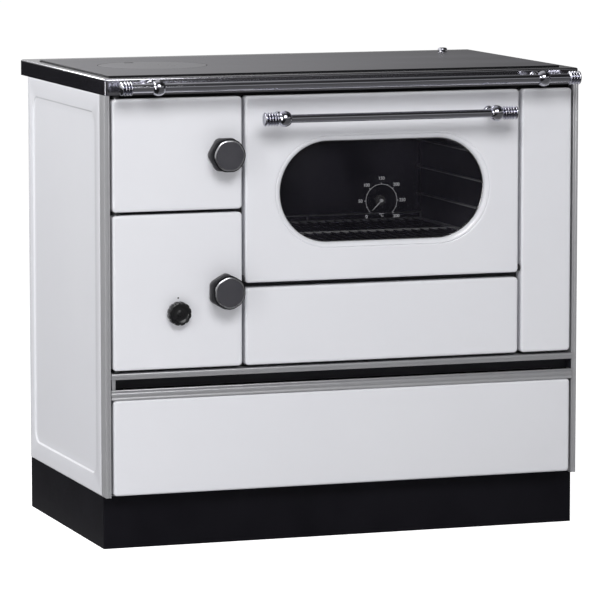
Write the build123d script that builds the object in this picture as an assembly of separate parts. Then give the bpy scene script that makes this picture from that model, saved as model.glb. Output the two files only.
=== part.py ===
"""Wood cookstove: a steel body on a plinth, with a firebox and ash space at the left, an oven beside
them, a fuel drawer below and a cast hob on top. Millimetres, +Z up, front towards -Y."""
from build123d import *
from math import cos, radians, sin
import os

# --- Driving dimensions ------------------------------------------------------------------------------

# Heights, stacked from the floor up
plinth_height = 95
drawer_foot_gap = 3
drawer_front_height = 172
grip_height = 18
recess_height = 18.5
trim_height = 10.5
door_foot_gap = 5
ash_door_height = 276
left_door_gap = 6
firebox_door_height = 200
door_head_gap = 7
hob_frame_height = 29

# Widths, from the left post to the right one
body_width = 900
post_face = 10
door_side_gap = 4
left_door_width = 240
column_gap = 6
right_panel_width = 97

# Depths, from the front faces of the posts backwards
body_depth = 502
hob_overhang = 54
post_depth = 38
plinth_setback = 21
plinth_inset = 1
door_proud = 3
door_back = 20

# Sheets and walls
sheet = 2
frame_bar = 3
plinth_wall = 3
plinth_flange = 20
panel_edge_radius = 6
panel_wall = 1.5
embossed_margin = 34
embossed_rise = 2.5
embossed_radius = 25
back_rib_width = 24
back_rib_margin = 80
panel_joint = 1

# Hob
hob_side_border = 20
hob_front_border = 40
hob_back_border = 60
hob_ledge = 8
hob_wall = 4
hob_top_wall = 9
hob_edge_radius = 3
plate_thickness = 8
plate_rise = 2.5
plate_joint = 0.5
lid_radius = 100
lid_inset = 175
lid_y = 282
lid_step = 8
lid_notch_radius = 80

# Hob rail and oven handle
rail_reach = 44
rail_radius = 8
rail_end_inset = 15
rail_ball_inset = 72
rail_ball_radius = 14
handle_reach = 40
handle_radius = 7.5
handle_end_inset = 19.5
handle_ball_inset = 41.5
handle_ball_radius = 14.5
handle_drop = 39
finial_pitch = 5.2
finial_groove = 1.6
finial_cap = 7.5
finial_ring_radius = 12.5
finial_bevel = 1
rail_finial_rings = 3
handle_finial_rings = 4
bar_clearance = 0.05

# Doors
hinge_inset = 8
hinge_pin_radius = 3
hinge_pin_reach = 8
hinge_lug = 3
pivot_clearance = 0.05
hinge_wall = 3
door_plate = 6
rib_width = 4
rib_margin = 22
seal_width = 10
seal_thickness = 3.7
seal_clearance = 0.3
seal_margin = 3
door_hinge_margin = 32
door_latch_margin = 20
door_top_margin = 20
firebox_sill = 28
oven_door_margin = 27

# Knobs and latches
knob_inset = 33
knob_drop = 2.5
knob_hexagon_radius = 34
knob_flange_corner = 12
knob_cap_corner = 24
knob_height = 32
knob_flange = 9
knob_groove = 5
knob_neck_radius = 24
knob_gap = 0.5
spindle_radius = 5
latch_length = 26
latch_width = 12
latch_thickness = 4
latch_gap = 1
air_knob_height = 99.5
air_knob_radius = 21.5
air_knob_depth = 14
air_knob_grips = 12
air_spindle_radius = 4
air_disc_radius = 42
air_disc_thickness = 2
air_disc_gap = 0.5
air_hole_radius = 9
air_hole_circle = 27
air_holes = 4
inlets = 4
inlet_length = 26
inlet_width = 6
inlet_pitch = 36

# Oven door window and thermometer
window_side_margin = 66.5
window_height = 182
window_drop = 8
window_roll = 5
window_flange = 6
window_collar = 1.5
glass_recess = 12
glass_thickness = 4
glass_overlap = 8
dial_drop = 20.5
needle_length = 25
needle_gap = 0.5
needle_thickness = 0.8
thermometer_shaft_radius = 3
thermometer_coil_radius = 9
inner_pan_wall = 2
inner_window_margin = 2
hinge_block = 16

# Panel below the oven, fuel drawer and its rails
cover_height = 139
cover_clip_gap = 0.3
drawer_box_side_gap = 47
drawer_box_depth = 450
drawer_box_lift = 14
drawer_box_height = 143
drawer_panel_depth = 20
drawer_side_clearance = 0.5
grip_lip = 3.5
runner_width = 6.5
runner_lift = 50
rail_height = 24
rail_clearance = 0.3
recess_strip_thickness = 3

# Firebox
brick = 22
firebox_wall_gap = 8
firebox_back_step = 3
brick_front_gap = 18
brick_head_gap = 5
grate_height = 266
grate_thickness = 12
grate_slots = 11
grate_slot_width = 9
grate_bar = 14
bypass_height = 21
ash_floor_rise = 16
ledge = 10
ledge_thickness = 4
ash_pan_gap = 4
ash_pan_height = 75
ash_bail_width = 70
ash_bail_height = 30
ash_bail_bar = 5
ash_bail_drop = 18
pan_wall = 1.5

# Oven
rear_way = 53
guide_levels = 4
guide_pitch = 51.5
guide_first = 29
guide_rib = 10
rack_wire = 3
rack_cross_wire = 1.5
rack_wires = 11
rack_stop_rise = 12

# Smoke ways, damper and flue
smoke_wall_inset = 40
smoke_floor_rise = 21
soot_hole_margin = 30
soot_hole_drop = 18
soot_door_lap = 8
soot_door_thickness = 3
soot_door_radius = 6
soot_grip_width = 28
soot_grip_thickness = 6
soot_grip_setback = 10
baffle_rise = 2
flue_radius = 59
flue_wall = 3
flue_length = 66
flue_flange = 17
flue_flange_thickness = 5
flue_inset = 120
flue_drop = 86
flue_hole_clearance = 8
damper_inset = 84
damper_from_back = 24
damper_plate_width = 96
damper_plate_depth = 42
damper_port_overlap = 8
damper_rod_radius = 4
damper_knob_radius = 9
damper_knob_height = 15
damper_knob_gap = 1
damper_well = 3
damper_travel = 25

# --- Levels and lines worked out from them -----------------------------------------------------------

half_width = body_width / 2
post_inner = half_width - post_face
drawer_bottom = plinth_height + drawer_foot_gap
grip_bottom = drawer_bottom + drawer_front_height
recess_bottom = grip_bottom + grip_height
trim_bottom = recess_bottom + recess_height
trim_top = trim_bottom + trim_height
doors_bottom = trim_top + door_foot_gap
ash_door_top = doors_bottom + ash_door_height
firebox_door_bottom = ash_door_top + left_door_gap
doors_top = firebox_door_bottom + firebox_door_height
body_top = doors_top + door_head_gap
hob_top = body_top + hob_frame_height
plate_top = hob_top + plate_rise
plate_bottom = plate_top - plate_thickness

door_left = -post_inner + door_side_gap
door_right = door_left + left_door_width
right_panel_right = post_inner - door_side_gap
right_panel_left = right_panel_right - right_panel_width
oven_left = door_right + column_gap
oven_right = right_panel_left - column_gap
oven_middle = (oven_left + oven_right) / 2
cover_top = doors_bottom + cover_height
oven_door_bottom = cover_top + 9

front = -door_proud
pan_radius = panel_edge_radius - panel_wall
pan_chamfer = pan_radius / 2
pan_face = front + panel_wall + pan_chamfer
frame_front = door_back + seal_thickness + seal_clearance
frame_back = frame_front + frame_bar
back_inner = body_depth - sheet
hob_depth = body_depth + hob_overhang
side_inner = half_width - sheet

mouth_left = door_left + door_hinge_margin
mouth_right = door_right - door_latch_margin
firebox_mouth_bottom = firebox_door_bottom + firebox_sill
firebox_mouth_top = doors_top - door_top_margin
ash_mouth_top = ash_door_top - door_top_margin
ash_floor = doors_bottom + ash_floor_rise
oven_inner_left = oven_left + oven_door_margin
oven_inner_right = oven_right - oven_door_margin
oven_inner_bottom = oven_door_bottom + oven_door_margin
oven_inner_top = doors_top - oven_door_margin
oven_back = back_inner - rear_way
oven_top = oven_inner_top + sheet
smoke_floor = doors_bottom + smoke_floor_rise
grate_bottom = doors_bottom + grate_height
grate_top = grate_bottom + grate_thickness
firebox_back = oven_back - firebox_back_step
casing_left = mouth_left - firebox_wall_gap - brick
casing_right = mouth_right + brick

hinge_x = door_left + hinge_inset
hinge_y = front + hinge_inset
oven_hinge_z = oven_door_bottom + hinge_inset
knob_x = door_right - knob_inset
firebox_knob_z = (firebox_door_bottom + doors_top) / 2 - knob_drop
ash_knob_z = (doors_bottom + ash_door_top) / 2 - knob_drop
air_knob_x = (door_left + door_right) / 2
air_knob_z = doors_bottom + air_knob_height
window_width = oven_right - oven_left - 2 * window_side_margin
window_z = (oven_door_bottom + doors_top) / 2 - window_drop
dial_z = window_z - dial_drop
glass_front = front + glass_recess
glass_back = glass_front + glass_thickness
handle_half_length = (oven_right - oven_left) / 2 - handle_end_inset
handle_ball_half_span = handle_half_length - handle_ball_inset
handle_z = doors_top - handle_drop
handle_y = front - handle_reach
rail_half_length = half_width - rail_end_inset
rail_ball_half_span = rail_half_length - rail_ball_inset
rail_y = -rail_reach
rail_z = (body_top + hob_top) / 2
lid_x = lid_inset - half_width
smoke_wall_x = half_width - smoke_wall_inset
flue_x = half_width - flue_inset
flue_z = body_top - flue_drop
drawer_box_half = half_width - drawer_box_side_gap
drawer_box_bottom = drawer_bottom + drawer_box_lift
drawer_box_top = drawer_box_bottom + drawer_box_height
drawer_panel_back = front + drawer_panel_depth
rail_inner = drawer_box_half + runner_width + rail_clearance
stile_inner = rail_inner + 1
rail_bottom = drawer_box_bottom + runner_lift
damper_x = half_width - damper_inset
damper_y = back_inner - damper_from_back
damper_knob_bottom = plate_top - damper_well + damper_knob_gap
baffle_bottom = oven_top
baffle_top = baffle_bottom + baffle_rise

strip_half = post_inner - drawer_side_clearance
soot_hole_left = oven_inner_left + soot_hole_margin
soot_hole_right = oven_inner_right - soot_hole_margin
soot_hole_top = cover_top - soot_hole_drop
brick_front = frame_back + brick_front_gap
brick_top = body_top - brick_head_gap
bypass_bottom = body_top - bypass_height
port_half_width = damper_plate_width / 2 - damper_port_overlap
port_half_depth = damper_plate_depth / 2 - damper_port_overlap

# The origin is on the floor, in the middle of the outermost points front and back
front_reach = max(rail_reach + rail_ball_radius, handle_reach + door_proud + handle_ball_radius)
back_reach = max(hob_depth, body_depth + flue_length)
middle_y = (back_reach - front_reach) / 2

# --- Building blocks ---------------------------------------------------------------------------------


def block(x0, x1, y0, y1, z0, z1):
    """A box between two corners."""
    return Pos((x0 + x1) / 2, (y0 + y1) / 2, (z0 + z1) / 2) * Box(x1 - x0, y1 - y0, z1 - z0)


def mirrored(solid):
    """The same piece on the other side of the body."""
    return mirror(solid, about=Plane.YZ)


def rod(x, y, z0, z1, radius):
    """An upright round bar."""
    return Pos(x, y, (z0 + z1) / 2) * Cylinder(radius, z1 - z0)


def cross_rod(x0, x1, y, z, radius):
    """A round bar along X."""
    return Pos((x0 + x1) / 2, y, z) * Rot(0, 90, 0) * Cylinder(radius, x1 - x0)


def deep_rod(x, y0, y1, z, radius):
    """A round bar along Y."""
    return Pos(x, (y0 + y1) / 2, z) * Rot(90, 0, 0) * Cylinder(radius, y1 - y0)


def prism_y(outline, y0, y1):
    """An outline drawn in the XZ plane and carried from y0 back to y1."""
    return Pos(0, y1, 0) * extrude(Plane.XZ * outline, y1 - y0)


def bar_x(outline, x0, x1):
    """An outline drawn in the YZ plane and carried along X."""
    return Pos(x0, 0, 0) * extrude(Plane.YZ * outline, x1 - x0)


def group(*pieces):
    """Separate solids that stay separate."""
    return Compound(children=[solid for piece in pieces for solid in piece.solids()])


def save(piece, name):
    """Write one piece, moved so that the origin is in the middle of the footprint."""
    export_step(Pos(0, -middle_y, 0) * piece, f"parts/{name}.step")


def pressed_panel(x0, x1, z0, z1, depth):
    """An enamelled front: a sheet pressed to a shallow open pan with soft outer edges."""
    shell = block(x0, x1, front, front + depth, z0, z1)
    shell = fillet(shell.edges().filter_by(Axis.Y), panel_edge_radius)
    shell = fillet(shell.faces().sort_by(Axis.Y)[0].edges(), panel_edge_radius - 1)
    hollow = block(x0 + panel_wall, x1 - panel_wall, front + panel_wall, front + depth + 1,
                   z0 + panel_wall, z1 - panel_wall)
    hollow = fillet(hollow.edges().filter_by(Axis.Y), pan_radius)
    hollow = chamfer(hollow.faces().sort_by(Axis.Y)[0].edges(), pan_chamfer)
    return shell - hollow


def panel_filling(x0, x1, y0, z0, z1):
    """The room inside a pressed front from depth y0 to its back edge."""
    room = block(x0 + panel_wall, x1 - panel_wall, y0, door_back, z0 + panel_wall, z1 - panel_wall)
    return fillet(room.edges().filter_by(Axis.Y), pan_radius)


def seal_ring(x0, x1, z0, z1, margin):
    """A flat ring in the XZ plane whose inner edge lies outside an opening by the margin."""
    outer = block(x0 - margin - seal_width, x1 + margin + seal_width, door_back,
                  door_back + seal_thickness, z0 - margin - seal_width, z1 + margin + seal_width)
    outer = fillet(outer.edges().filter_by(Axis.Y), seal_width)
    inner = block(x0 - margin, x1 + margin, door_back, door_back + seal_thickness,
                  z0 - margin, z1 + margin)
    return outer - inner


def finial_length(rings):
    return rings * finial_pitch + finial_cap


def ribbed_end(x0, y, z, bar_radius, rings, side):
    """A turned end piece: a row of rings with grooves between them, and a longer domed cap."""
    outline = [(0, 0)]
    for ring in range(rings + 1):
        start = ring * finial_pitch
        end = start + (finial_pitch if ring < rings else finial_cap)
        outline += [(bar_radius, start), (bar_radius, start + finial_groove),
                    (finial_ring_radius - finial_bevel, start + finial_groove),
                    (finial_ring_radius, start + finial_groove + finial_bevel),
                    (finial_ring_radius, end - finial_bevel),
                    (finial_ring_radius - finial_bevel, end)]
    outline += [(0, end)]
    turned = revolve(Plane.XZ * make_face(Polyline(*outline, close=True)), Axis.Z)
    return Pos(x0, y, z) * Rot(0, 90 * side, 0) * turned


def ball_bracket(x, y, z, base_y, ball_radius, bar_radius):
    """A ball that the bar passes through, on a stem with a rosette at its foot."""
    rosette = deep_rod(x, base_y - 3, base_y, z, ball_radius * 0.75)
    stem = deep_rod(x, y, base_y - 3, z, ball_radius * 0.38)
    ball = Pos(x, y, z) * Sphere(ball_radius)
    ball &= block(x - ball_radius * 0.7, x + ball_radius * 0.7, y - ball_radius, y + ball_radius,
                  z - ball_radius, z + ball_radius)
    return rosette + stem + ball - cross_rod(x - ball_radius, x + ball_radius, y, z,
                                             bar_radius + bar_clearance)


# --- Body ------------------------------------------------------------------------------------------


def plinth():
    """Folded sheet ring with a flange turned in at the top and at the floor."""
    side = half_width - plinth_inset
    back = body_depth - plinth_inset
    ring = block(-side, side, plinth_setback, back, 0, plinth_height)
    ring -= block(-side + plinth_wall, side - plinth_wall, plinth_setback + plinth_wall,
                  back - plinth_wall, plinth_wall, plinth_height - plinth_wall)
    ring -= block(-side + plinth_flange, side - plinth_flange, plinth_setback + plinth_flange,
                  back - plinth_flange, -1, plinth_height + 1)
    return fillet(ring.edges().filter_by(Axis.Z).group_by(Axis.Y)[0], plinth_wall - 1)


def base_panel():
    return block(-post_inner, post_inner, plinth_setback, back_inner, plinth_height,
                 plinth_height + sheet)


def post():
    """Left corner post: a hollow extrusion with a rounded outer corner and a bead along its face."""
    wall = 1.8
    tube = block(-half_width, -post_inner, 0, post_depth, plinth_height, body_top)
    tube = fillet(tube.edges().filter_by(Axis.Z).group_by(Axis.Y)[0], 2)
    tube -= block(-half_width + wall, -post_inner - wall, wall, post_depth - wall,
                  plinth_height - 1, body_top + 1)
    bead = rod(-half_width + post_face * 0.62, 0, plinth_height, body_top, 0.8)
    return tube - bead


def side_panel():
    """Left side: enamelled sheet with a large rounded field pressed inwards."""
    y0 = post_depth + panel_joint
    panel = block(-half_width, -side_inner, y0, body_depth, plinth_height, body_top)
    middle_z = (plinth_height + body_top) / 2
    field_depth = body_depth - y0 - 2 * embossed_margin + 6
    field_height = body_top - plinth_height - 2 * embossed_margin
    field = Plane.YZ * Pos((y0 + body_depth) / 2, middle_z) * RectangleRounded(
        field_depth, field_height, embossed_radius)
    boss = Pos(-side_inner, 0, 0) * extrude(field, embossed_rise, taper=45)
    dish = Pos(-half_width, 0, 0) * extrude(field, embossed_rise, taper=45)
    return panel + boss - dish


def back_panel():
    """Rear sheet with the hole for the flue collar and two pressed ribs."""
    panel = block(-side_inner, side_inner, back_inner, body_depth, plinth_height, body_top)
    for x in (-half_width / 2, 0):
        panel += block(x - back_rib_width / 2, x + back_rib_width / 2, back_inner,
                       body_depth + embossed_rise, plinth_height + back_rib_margin,
                       body_top - back_rib_margin)
    return panel - deep_rod(flue_x, back_inner - 1, body_depth + 1, flue_z,
                            flue_radius + flue_hole_clearance)


def front_bar(x0, x1, z0, z1):
    return block(x0, x1, frame_front, frame_back, z0, z1)


def front_frame():
    """Welded flat bars between the posts: stiles first, then the rails of each column."""
    bars = [front_bar(-post_inner, mouth_left, recess_bottom, body_top),
            front_bar(mouth_right, oven_inner_left, recess_bottom, body_top),
            front_bar(oven_inner_right, post_inner, recess_bottom, body_top)]
    for side in (-1, 1):
        ends = sorted((side * stile_inner, side * post_inner))
        bars.append(front_bar(*ends, plinth_height + sheet, recess_bottom))
    for z0, z1 in ((recess_bottom, ash_floor), (ash_mouth_top, firebox_mouth_bottom),
                   (firebox_mouth_top, body_top)):
        bars.append(front_bar(mouth_left, mouth_right, z0, z1))
    for z0, z1 in ((recess_bottom, smoke_floor), (soot_hole_top, oven_inner_bottom),
                   (oven_inner_top, body_top)):
        bars.append(front_bar(oven_inner_left, oven_inner_right, z0, z1))
    return group(*bars)


def hob_frame():
    """Enamelled frame, hollow below, with a ledge that carries the plate."""
    ring = block(-half_width, half_width, 0, hob_depth, body_top, hob_top)
    ring = fillet(ring.edges().filter_by(Axis.Z), 2 * hob_edge_radius)
    ring = fillet(ring.faces().sort_by(Axis.Z)[-1].edges(), hob_edge_radius)
    ring -= block(-half_width + hob_wall, half_width - hob_wall, hob_wall, hob_depth - hob_wall,
                  body_top - 1, hob_top - hob_top_wall)
    ring -= block(-half_width + hob_side_border + hob_ledge, half_width - hob_side_border - hob_ledge,
                  hob_front_border + hob_ledge, hob_depth - hob_back_border - hob_ledge,
                  body_top, hob_top + 1)
    return ring - block(-half_width + hob_side_border, half_width - hob_side_border,
                        hob_front_border, hob_depth - hob_back_border, plate_bottom, hob_top + 1)


def hob_plate():
    """Cast plate with a stepped hole for the lid, and a small hole and a well for the damper."""
    x1 = half_width - hob_side_border - plate_joint
    plate = block(-x1, x1, hob_front_border + plate_joint, hob_depth - hob_back_border - plate_joint,
                  plate_bottom, plate_top)
    plate = fillet(plate.edges().filter_by(Axis.Z), 3)
    plate = chamfer(plate.faces().sort_by(Axis.Z)[-1].edges(), 1)
    middle = (plate_bottom + plate_top) / 2
    plate -= rod(lid_x, lid_y, plate_bottom - 1, plate_top + 1, lid_radius - lid_step)
    plate -= rod(lid_x, lid_y, middle, plate_top + 1, lid_radius + plate_joint)
    plate -= rod(damper_x, damper_y, plate_bottom - 1, plate_top + 1, damper_rod_radius + plate_joint)
    return plate - rod(damper_x, damper_y, plate_top - damper_well, plate_top + 1,
                       damper_knob_radius + plate_joint)


def hob_lid():
    """Round cooking lid: a stepped cast disc with an undercut slot for the lifting iron."""
    middle = (plate_bottom + plate_top) / 2
    disc = chamfer(rod(lid_x, lid_y, middle, plate_top, lid_radius).edges().group_by(Axis.Z)[-1], 0.8)
    disc += rod(lid_x, lid_y, plate_bottom, middle, lid_radius - lid_step - plate_joint)
    notch_x = lid_x + lid_notch_radius * cos(radians(106))
    notch_y = lid_y + lid_notch_radius * sin(radians(106))
    disc -= block(notch_x - 9, notch_x + 9, notch_y - 5, notch_y + 5, middle, plate_top + 1)
    return disc - block(notch_x - 9, notch_x + 9, notch_y - 9, notch_y, middle, middle + 2)


def hob_rail():
    bar_end = rail_half_length - finial_length(rail_finial_rings)
    return group(cross_rod(-bar_end, bar_end, rail_y, rail_z, rail_radius),
                 *(ribbed_end(side * bar_end, rail_y, rail_z, rail_radius, rail_finial_rings, side)
                   for side in (-1, 1)))


def rail_brackets():
    return group(*(ball_bracket(side * rail_ball_half_span, rail_y, rail_z, 0, rail_ball_radius,
                                rail_radius) for side in (-1, 1)))


def right_panel():
    return pressed_panel(right_panel_left, right_panel_right, doors_bottom, doors_top,
                         frame_front - front)


def trim_strip():
    """Aluminium strip under the doors: a rounded nose with one groove along it."""
    outline = Pos((front + frame_front) / 2, (trim_bottom + trim_top) / 2) * RectangleRounded(
        frame_front - front, trim_height, 1.5)
    outline -= Pos(front, trim_bottom + trim_height * 0.4) * Rectangle(2, 1.2)
    return bar_x(outline, -strip_half, strip_half)


def recess_strip():
    return block(-strip_half, strip_half, frame_front - recess_strip_thickness, frame_front,
                 recess_bottom, trim_bottom)


# --- Firebox and ash space ---------------------------------------------------------------------------


def firebox_casing():
    """Steel walls round the fire and the ash space, with a floor and two ledges for the grate."""
    low = ash_floor - sheet
    left = block(casing_left - sheet, casing_left, frame_back, firebox_back + sheet, low, brick_top)
    right = block(casing_right, casing_right + sheet, frame_back, firebox_back + sheet, low,
                  bypass_bottom)
    back = block(casing_left, casing_right, firebox_back, firebox_back + sheet, low, bypass_bottom)
    floor = block(casing_left, casing_right, frame_back, firebox_back, low, ash_floor)
    ledges = [block(x, x + ledge, brick_front, firebox_back, grate_bottom - ledge_thickness, grate_bottom)
              for x in (casing_left, casing_right - ledge)]
    return group(left, right, back, floor, *ledges)


def firebox_bricks():
    """Fireclay slabs at both sides and behind; the right and rear ones stop below the smoke way."""
    left = block(casing_left, casing_left + brick, brick_front, firebox_back, grate_top, brick_top)
    right = block(casing_right - brick, casing_right, brick_front, firebox_back, grate_top,
                  bypass_bottom)
    back = block(casing_left + brick, casing_right - brick, firebox_back - brick, firebox_back,
                 grate_top, bypass_bottom)
    return group(*(chamfer(slab.edges().filter_by(Axis.Z), 1) for slab in (left, right, back)))


def fire_grate():
    """Cast grate with two rows of slots."""
    grate = block(casing_left, casing_right, brick_front, firebox_back, grate_bottom, grate_top)
    inner_left = casing_left + brick
    inner_right = casing_right - brick
    middle_x = (inner_left + inner_right) / 2
    slot_length = (inner_right - inner_left) / 2 - grate_bar
    first = brick_front + 1.5 * brick
    pitch = (firebox_back - 2 * brick - first) / (grate_slots - 1)
    for row in (-1, 1):
        for number in range(grate_slots):
            slot = SlotOverall(slot_length, grate_slot_width)
            centre = Pos(middle_x + row * (slot_length + grate_bar / 2) / 2, first + number * pitch,
                         grate_bottom)
            grate -= centre * extrude(slot, grate_thickness)
    return grate


def ash_pan():
    """Folded pan on the ash floor, with a turned lip and a bail at its front."""
    x0 = mouth_left + ash_pan_gap
    x1 = mouth_right - ash_pan_gap
    y0 = brick_front + ash_pan_gap
    y1 = firebox_back - ash_pan_gap
    top = ash_floor + ash_pan_height
    pan = block(x0, x1, y0, y1, ash_floor, top)
    pan -= block(x0 + pan_wall, x1 - pan_wall, y0 + pan_wall, y1 - pan_wall, ash_floor + pan_wall, top + 1)
    middle_x = (x0 + x1) / 2
    bail = RectangleRounded(ash_bail_width, ash_bail_height, 1.6 * ash_bail_bar)
    bail -= RectangleRounded(ash_bail_width - 2 * ash_bail_bar, ash_bail_height - 2 * ash_bail_bar,
                             ash_bail_bar)
    return pan + prism_y(Pos(middle_x, top - ash_bail_drop) * bail, y0 - pan_wall, y0)


# --- Oven and smoke ways -----------------------------------------------------------------------------


def oven_box():
    """Five-sided steel box, open at the front, welded to the front frame."""
    box = block(oven_inner_left - sheet, oven_inner_right + sheet, frame_back, oven_back,
                oven_inner_bottom - sheet, oven_top)
    box = fillet(box.edges().filter_by(Axis.Y), 5)
    hollow = block(oven_inner_left, oven_inner_right, frame_back - 1, oven_back - sheet,
                   oven_inner_bottom, oven_inner_top)
    return box - fillet(hollow.edges().filter_by(Axis.Y), 3)


def shelf_level(number):
    return oven_inner_bottom + guide_first + number * guide_pitch


def oven_guides():
    """Pressed side plates with shelf ribs."""
    guides = []
    for wall, side in ((oven_inner_left, 1), (oven_inner_right, -1)):
        ends = sorted((wall, wall + side * pan_wall))
        guide = block(*ends, frame_back + guide_rib, oven_back - 2 * guide_rib,
                      shelf_level(0) - guide_pitch / 2, shelf_level(guide_levels - 1) + guide_pitch / 2)
        rib_ends = sorted((wall, wall + side * guide_rib))
        for number in range(guide_levels):
            guide += block(*rib_ends, frame_back + guide_rib, oven_back - 2 * guide_rib,
                           shelf_level(number) - sheet, shelf_level(number))
        guides.append(guide)
    return group(*guides)


def oven_rack():
    """Wire shelf: a round-wire border, thinner wires welded across on top, a raised stop at the rear."""
    x0 = oven_inner_left + pan_wall + rack_wire + 1
    x1 = oven_inner_right - pan_wall - rack_wire - 1
    y0 = frame_back + 2 * guide_rib
    y1 = oven_back - 3 * guide_rib
    z = shelf_level(0) + rack_wire
    rack = cross_rod(x0, x1, y0, z, rack_wire) + cross_rod(x0, x1, y1, z, rack_wire)
    for x in (x0, x1):
        rack += deep_rod(x, y0, y1, z, rack_wire)
    pitch = (x1 - x0) / (rack_wires + 1)
    for number in range(rack_wires):
        rack += deep_rod(x0 + (number + 1) * pitch, y0, y1, z + rack_wire - rack_cross_wire,
                         rack_cross_wire)
    for x in (x0, (x0 + x1) / 2, x1):
        rack += rod(x, y1, z, z + rack_stop_rise, rack_cross_wire)
    return rack + cross_rod(x0 - rack_cross_wire, x1 + rack_cross_wire, y1, z + rack_stop_rise,
                            rack_cross_wire)


def smoke_casing():
    """Sheets that close the smoke way beside and below the oven."""
    floor = block(casing_right + sheet, smoke_wall_x, frame_back, back_inner, smoke_floor - sheet,
                  smoke_floor)
    wall = block(smoke_wall_x, smoke_wall_x + sheet, frame_back, back_inner, smoke_floor - sheet,
                 bypass_bottom)
    return group(floor, wall)


def smoke_baffle():
    """Sheet from the oven's top rear edge to the back panel, with the damper's port."""
    sheet_top = block(casing_right + sheet, smoke_wall_x, oven_back - guide_rib, back_inner,
                      baffle_bottom, baffle_top)
    return sheet_top - block(flue_x - port_half_width, flue_x + port_half_width,
                             damper_y - port_half_depth, damper_y + port_half_depth,
                             baffle_bottom - 1, baffle_top + 1)


def soot_door():
    """Cleaning cover under the oven: a plate with a turned grip."""
    plate_face = frame_front - soot_door_thickness
    plate = block(soot_hole_left - soot_door_lap, soot_hole_right + soot_door_lap, plate_face,
                  frame_front, smoke_floor - soot_door_lap, soot_hole_top + soot_door_lap)
    plate = fillet(plate.edges().filter_by(Axis.Y), soot_door_radius)
    shape = Pos(oven_middle, (smoke_floor + soot_hole_top) / 2) * SlotOverall(
        soot_grip_width, soot_grip_thickness)
    return plate + prism_y(shape, front + soot_grip_setback, plate_face)


def flue_collar():
    """Cast spigot with a bolting flange."""
    inner = flue_radius - flue_wall
    outline = Polyline((inner, 0), (flue_radius + flue_flange, 0),
                       (flue_radius + flue_flange, flue_flange_thickness),
                       (flue_radius + 4, flue_flange_thickness),
                       (flue_radius, flue_flange_thickness + 4), (flue_radius, flue_length),
                       (inner, flue_length), close=True)
    turned = revolve(Plane.XZ * make_face(outline), Axis.Z)
    return Pos(flue_x, body_depth, flue_z) * Rot(-90, 0, 0) * turned


def damper_rod():
    """Lift damper: a plate over the port with its upright rod."""
    plate = block(flue_x - damper_plate_width / 2, flue_x + damper_plate_width / 2,
                  damper_y - damper_plate_depth / 2, damper_y + damper_plate_depth / 2,
                  baffle_top, baffle_top + sheet)
    return plate + rod(damper_x, damper_y, baffle_top, damper_knob_bottom, damper_rod_radius)


def damper_knob():
    knob = rod(damper_x, damper_y, damper_knob_bottom, damper_knob_bottom + damper_knob_height,
               damper_knob_radius)
    return fillet(knob.edges().group_by(Axis.Z)[-1], 3)


# --- Left doors -------------------------------------------------------------------------------------


def lug_levels():
    """Middles of the gaps that hold the lugs of the left doors."""
    return ((trim_top + doors_bottom) / 2, (ash_door_top + firebox_door_bottom) / 2,
            (doors_top + body_top) / 2)


def hinge_lugs():
    """Round-nosed lugs welded to the front frame, in the gaps below, between and above the doors."""
    reach = hinge_pin_radius + hinge_wall
    nose = Pos(hinge_x, hinge_y) * Circle(reach)
    tail = Pos(hinge_x, (hinge_y + frame_front) / 2) * Rectangle(2 * reach, frame_front - hinge_y)
    outline = nose + tail - Pos(hinge_x, hinge_y) * Circle(hinge_pin_radius)
    return group(*(Pos(0, 0, z - hinge_lug / 2) * extrude(outline, hinge_lug) for z in lug_levels()))


def hinge_pins():
    """Pins pressed through the lugs; the middle one carries both doors."""
    low, middle, high = lug_levels()
    return group(
        rod(hinge_x, hinge_y, low - hinge_lug / 2, doors_bottom + hinge_pin_reach, hinge_pin_radius),
        rod(hinge_x, hinge_y, ash_door_top - hinge_pin_reach, firebox_door_bottom + hinge_pin_reach,
            hinge_pin_radius),
        rod(hinge_x, hinge_y, doors_top - hinge_pin_reach, high + hinge_lug / 2, hinge_pin_radius))


def left_door_panel(z0, z1, knob_z):
    """Pressed front with its spindle hole and the two hinge holes in its edges."""
    panel = pressed_panel(door_left, door_right, z0, z1, door_back - front)
    panel -= deep_rod(knob_x, front - 1, front + panel_wall + 1, knob_z, spindle_radius + 1)
    for z in (z0, z1):
        panel -= rod(hinge_x, hinge_y, z - panel_wall - 1, z + panel_wall + 1, hinge_pin_radius + 1)
    return panel


def left_door_frame(z0, z1, knob_z):
    """Cast plate inside the door, with hinge blocks, a spindle boss and two stiffening ribs."""
    plate_front = door_back - door_plate
    casting = panel_filling(door_left, door_right, plate_front, z0, z1)
    pocket = hinge_pin_reach + 1
    for inner, outer in ((z0, z0 + pocket + hinge_wall), (z1 - pocket - hinge_wall, z1)):
        casting += block(door_left, hinge_x + hinge_pin_radius + hinge_wall, pan_face, plate_front, inner,
                         outer)
    casting &= panel_filling(door_left, door_right, front, z0, z1)
    casting += deep_rod(knob_x, front + panel_wall, plate_front, knob_z, 2.2 * spindle_radius)
    for share in (0.3, 0.7):
        rib_x = door_left + left_door_width * share
        casting += block(rib_x - rib_width / 2, rib_x + rib_width / 2, pan_face, plate_front,
                         z0 + rib_margin, z1 - rib_margin)
    casting -= deep_rod(knob_x, front, door_back + 1, knob_z, spindle_radius + pivot_clearance)
    for inner, outer in ((z0, z0 + pocket), (z1 - pocket, z1)):
        casting -= rod(hinge_x, hinge_y, inner, outer, hinge_pin_radius + pivot_clearance)
    return casting


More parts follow.
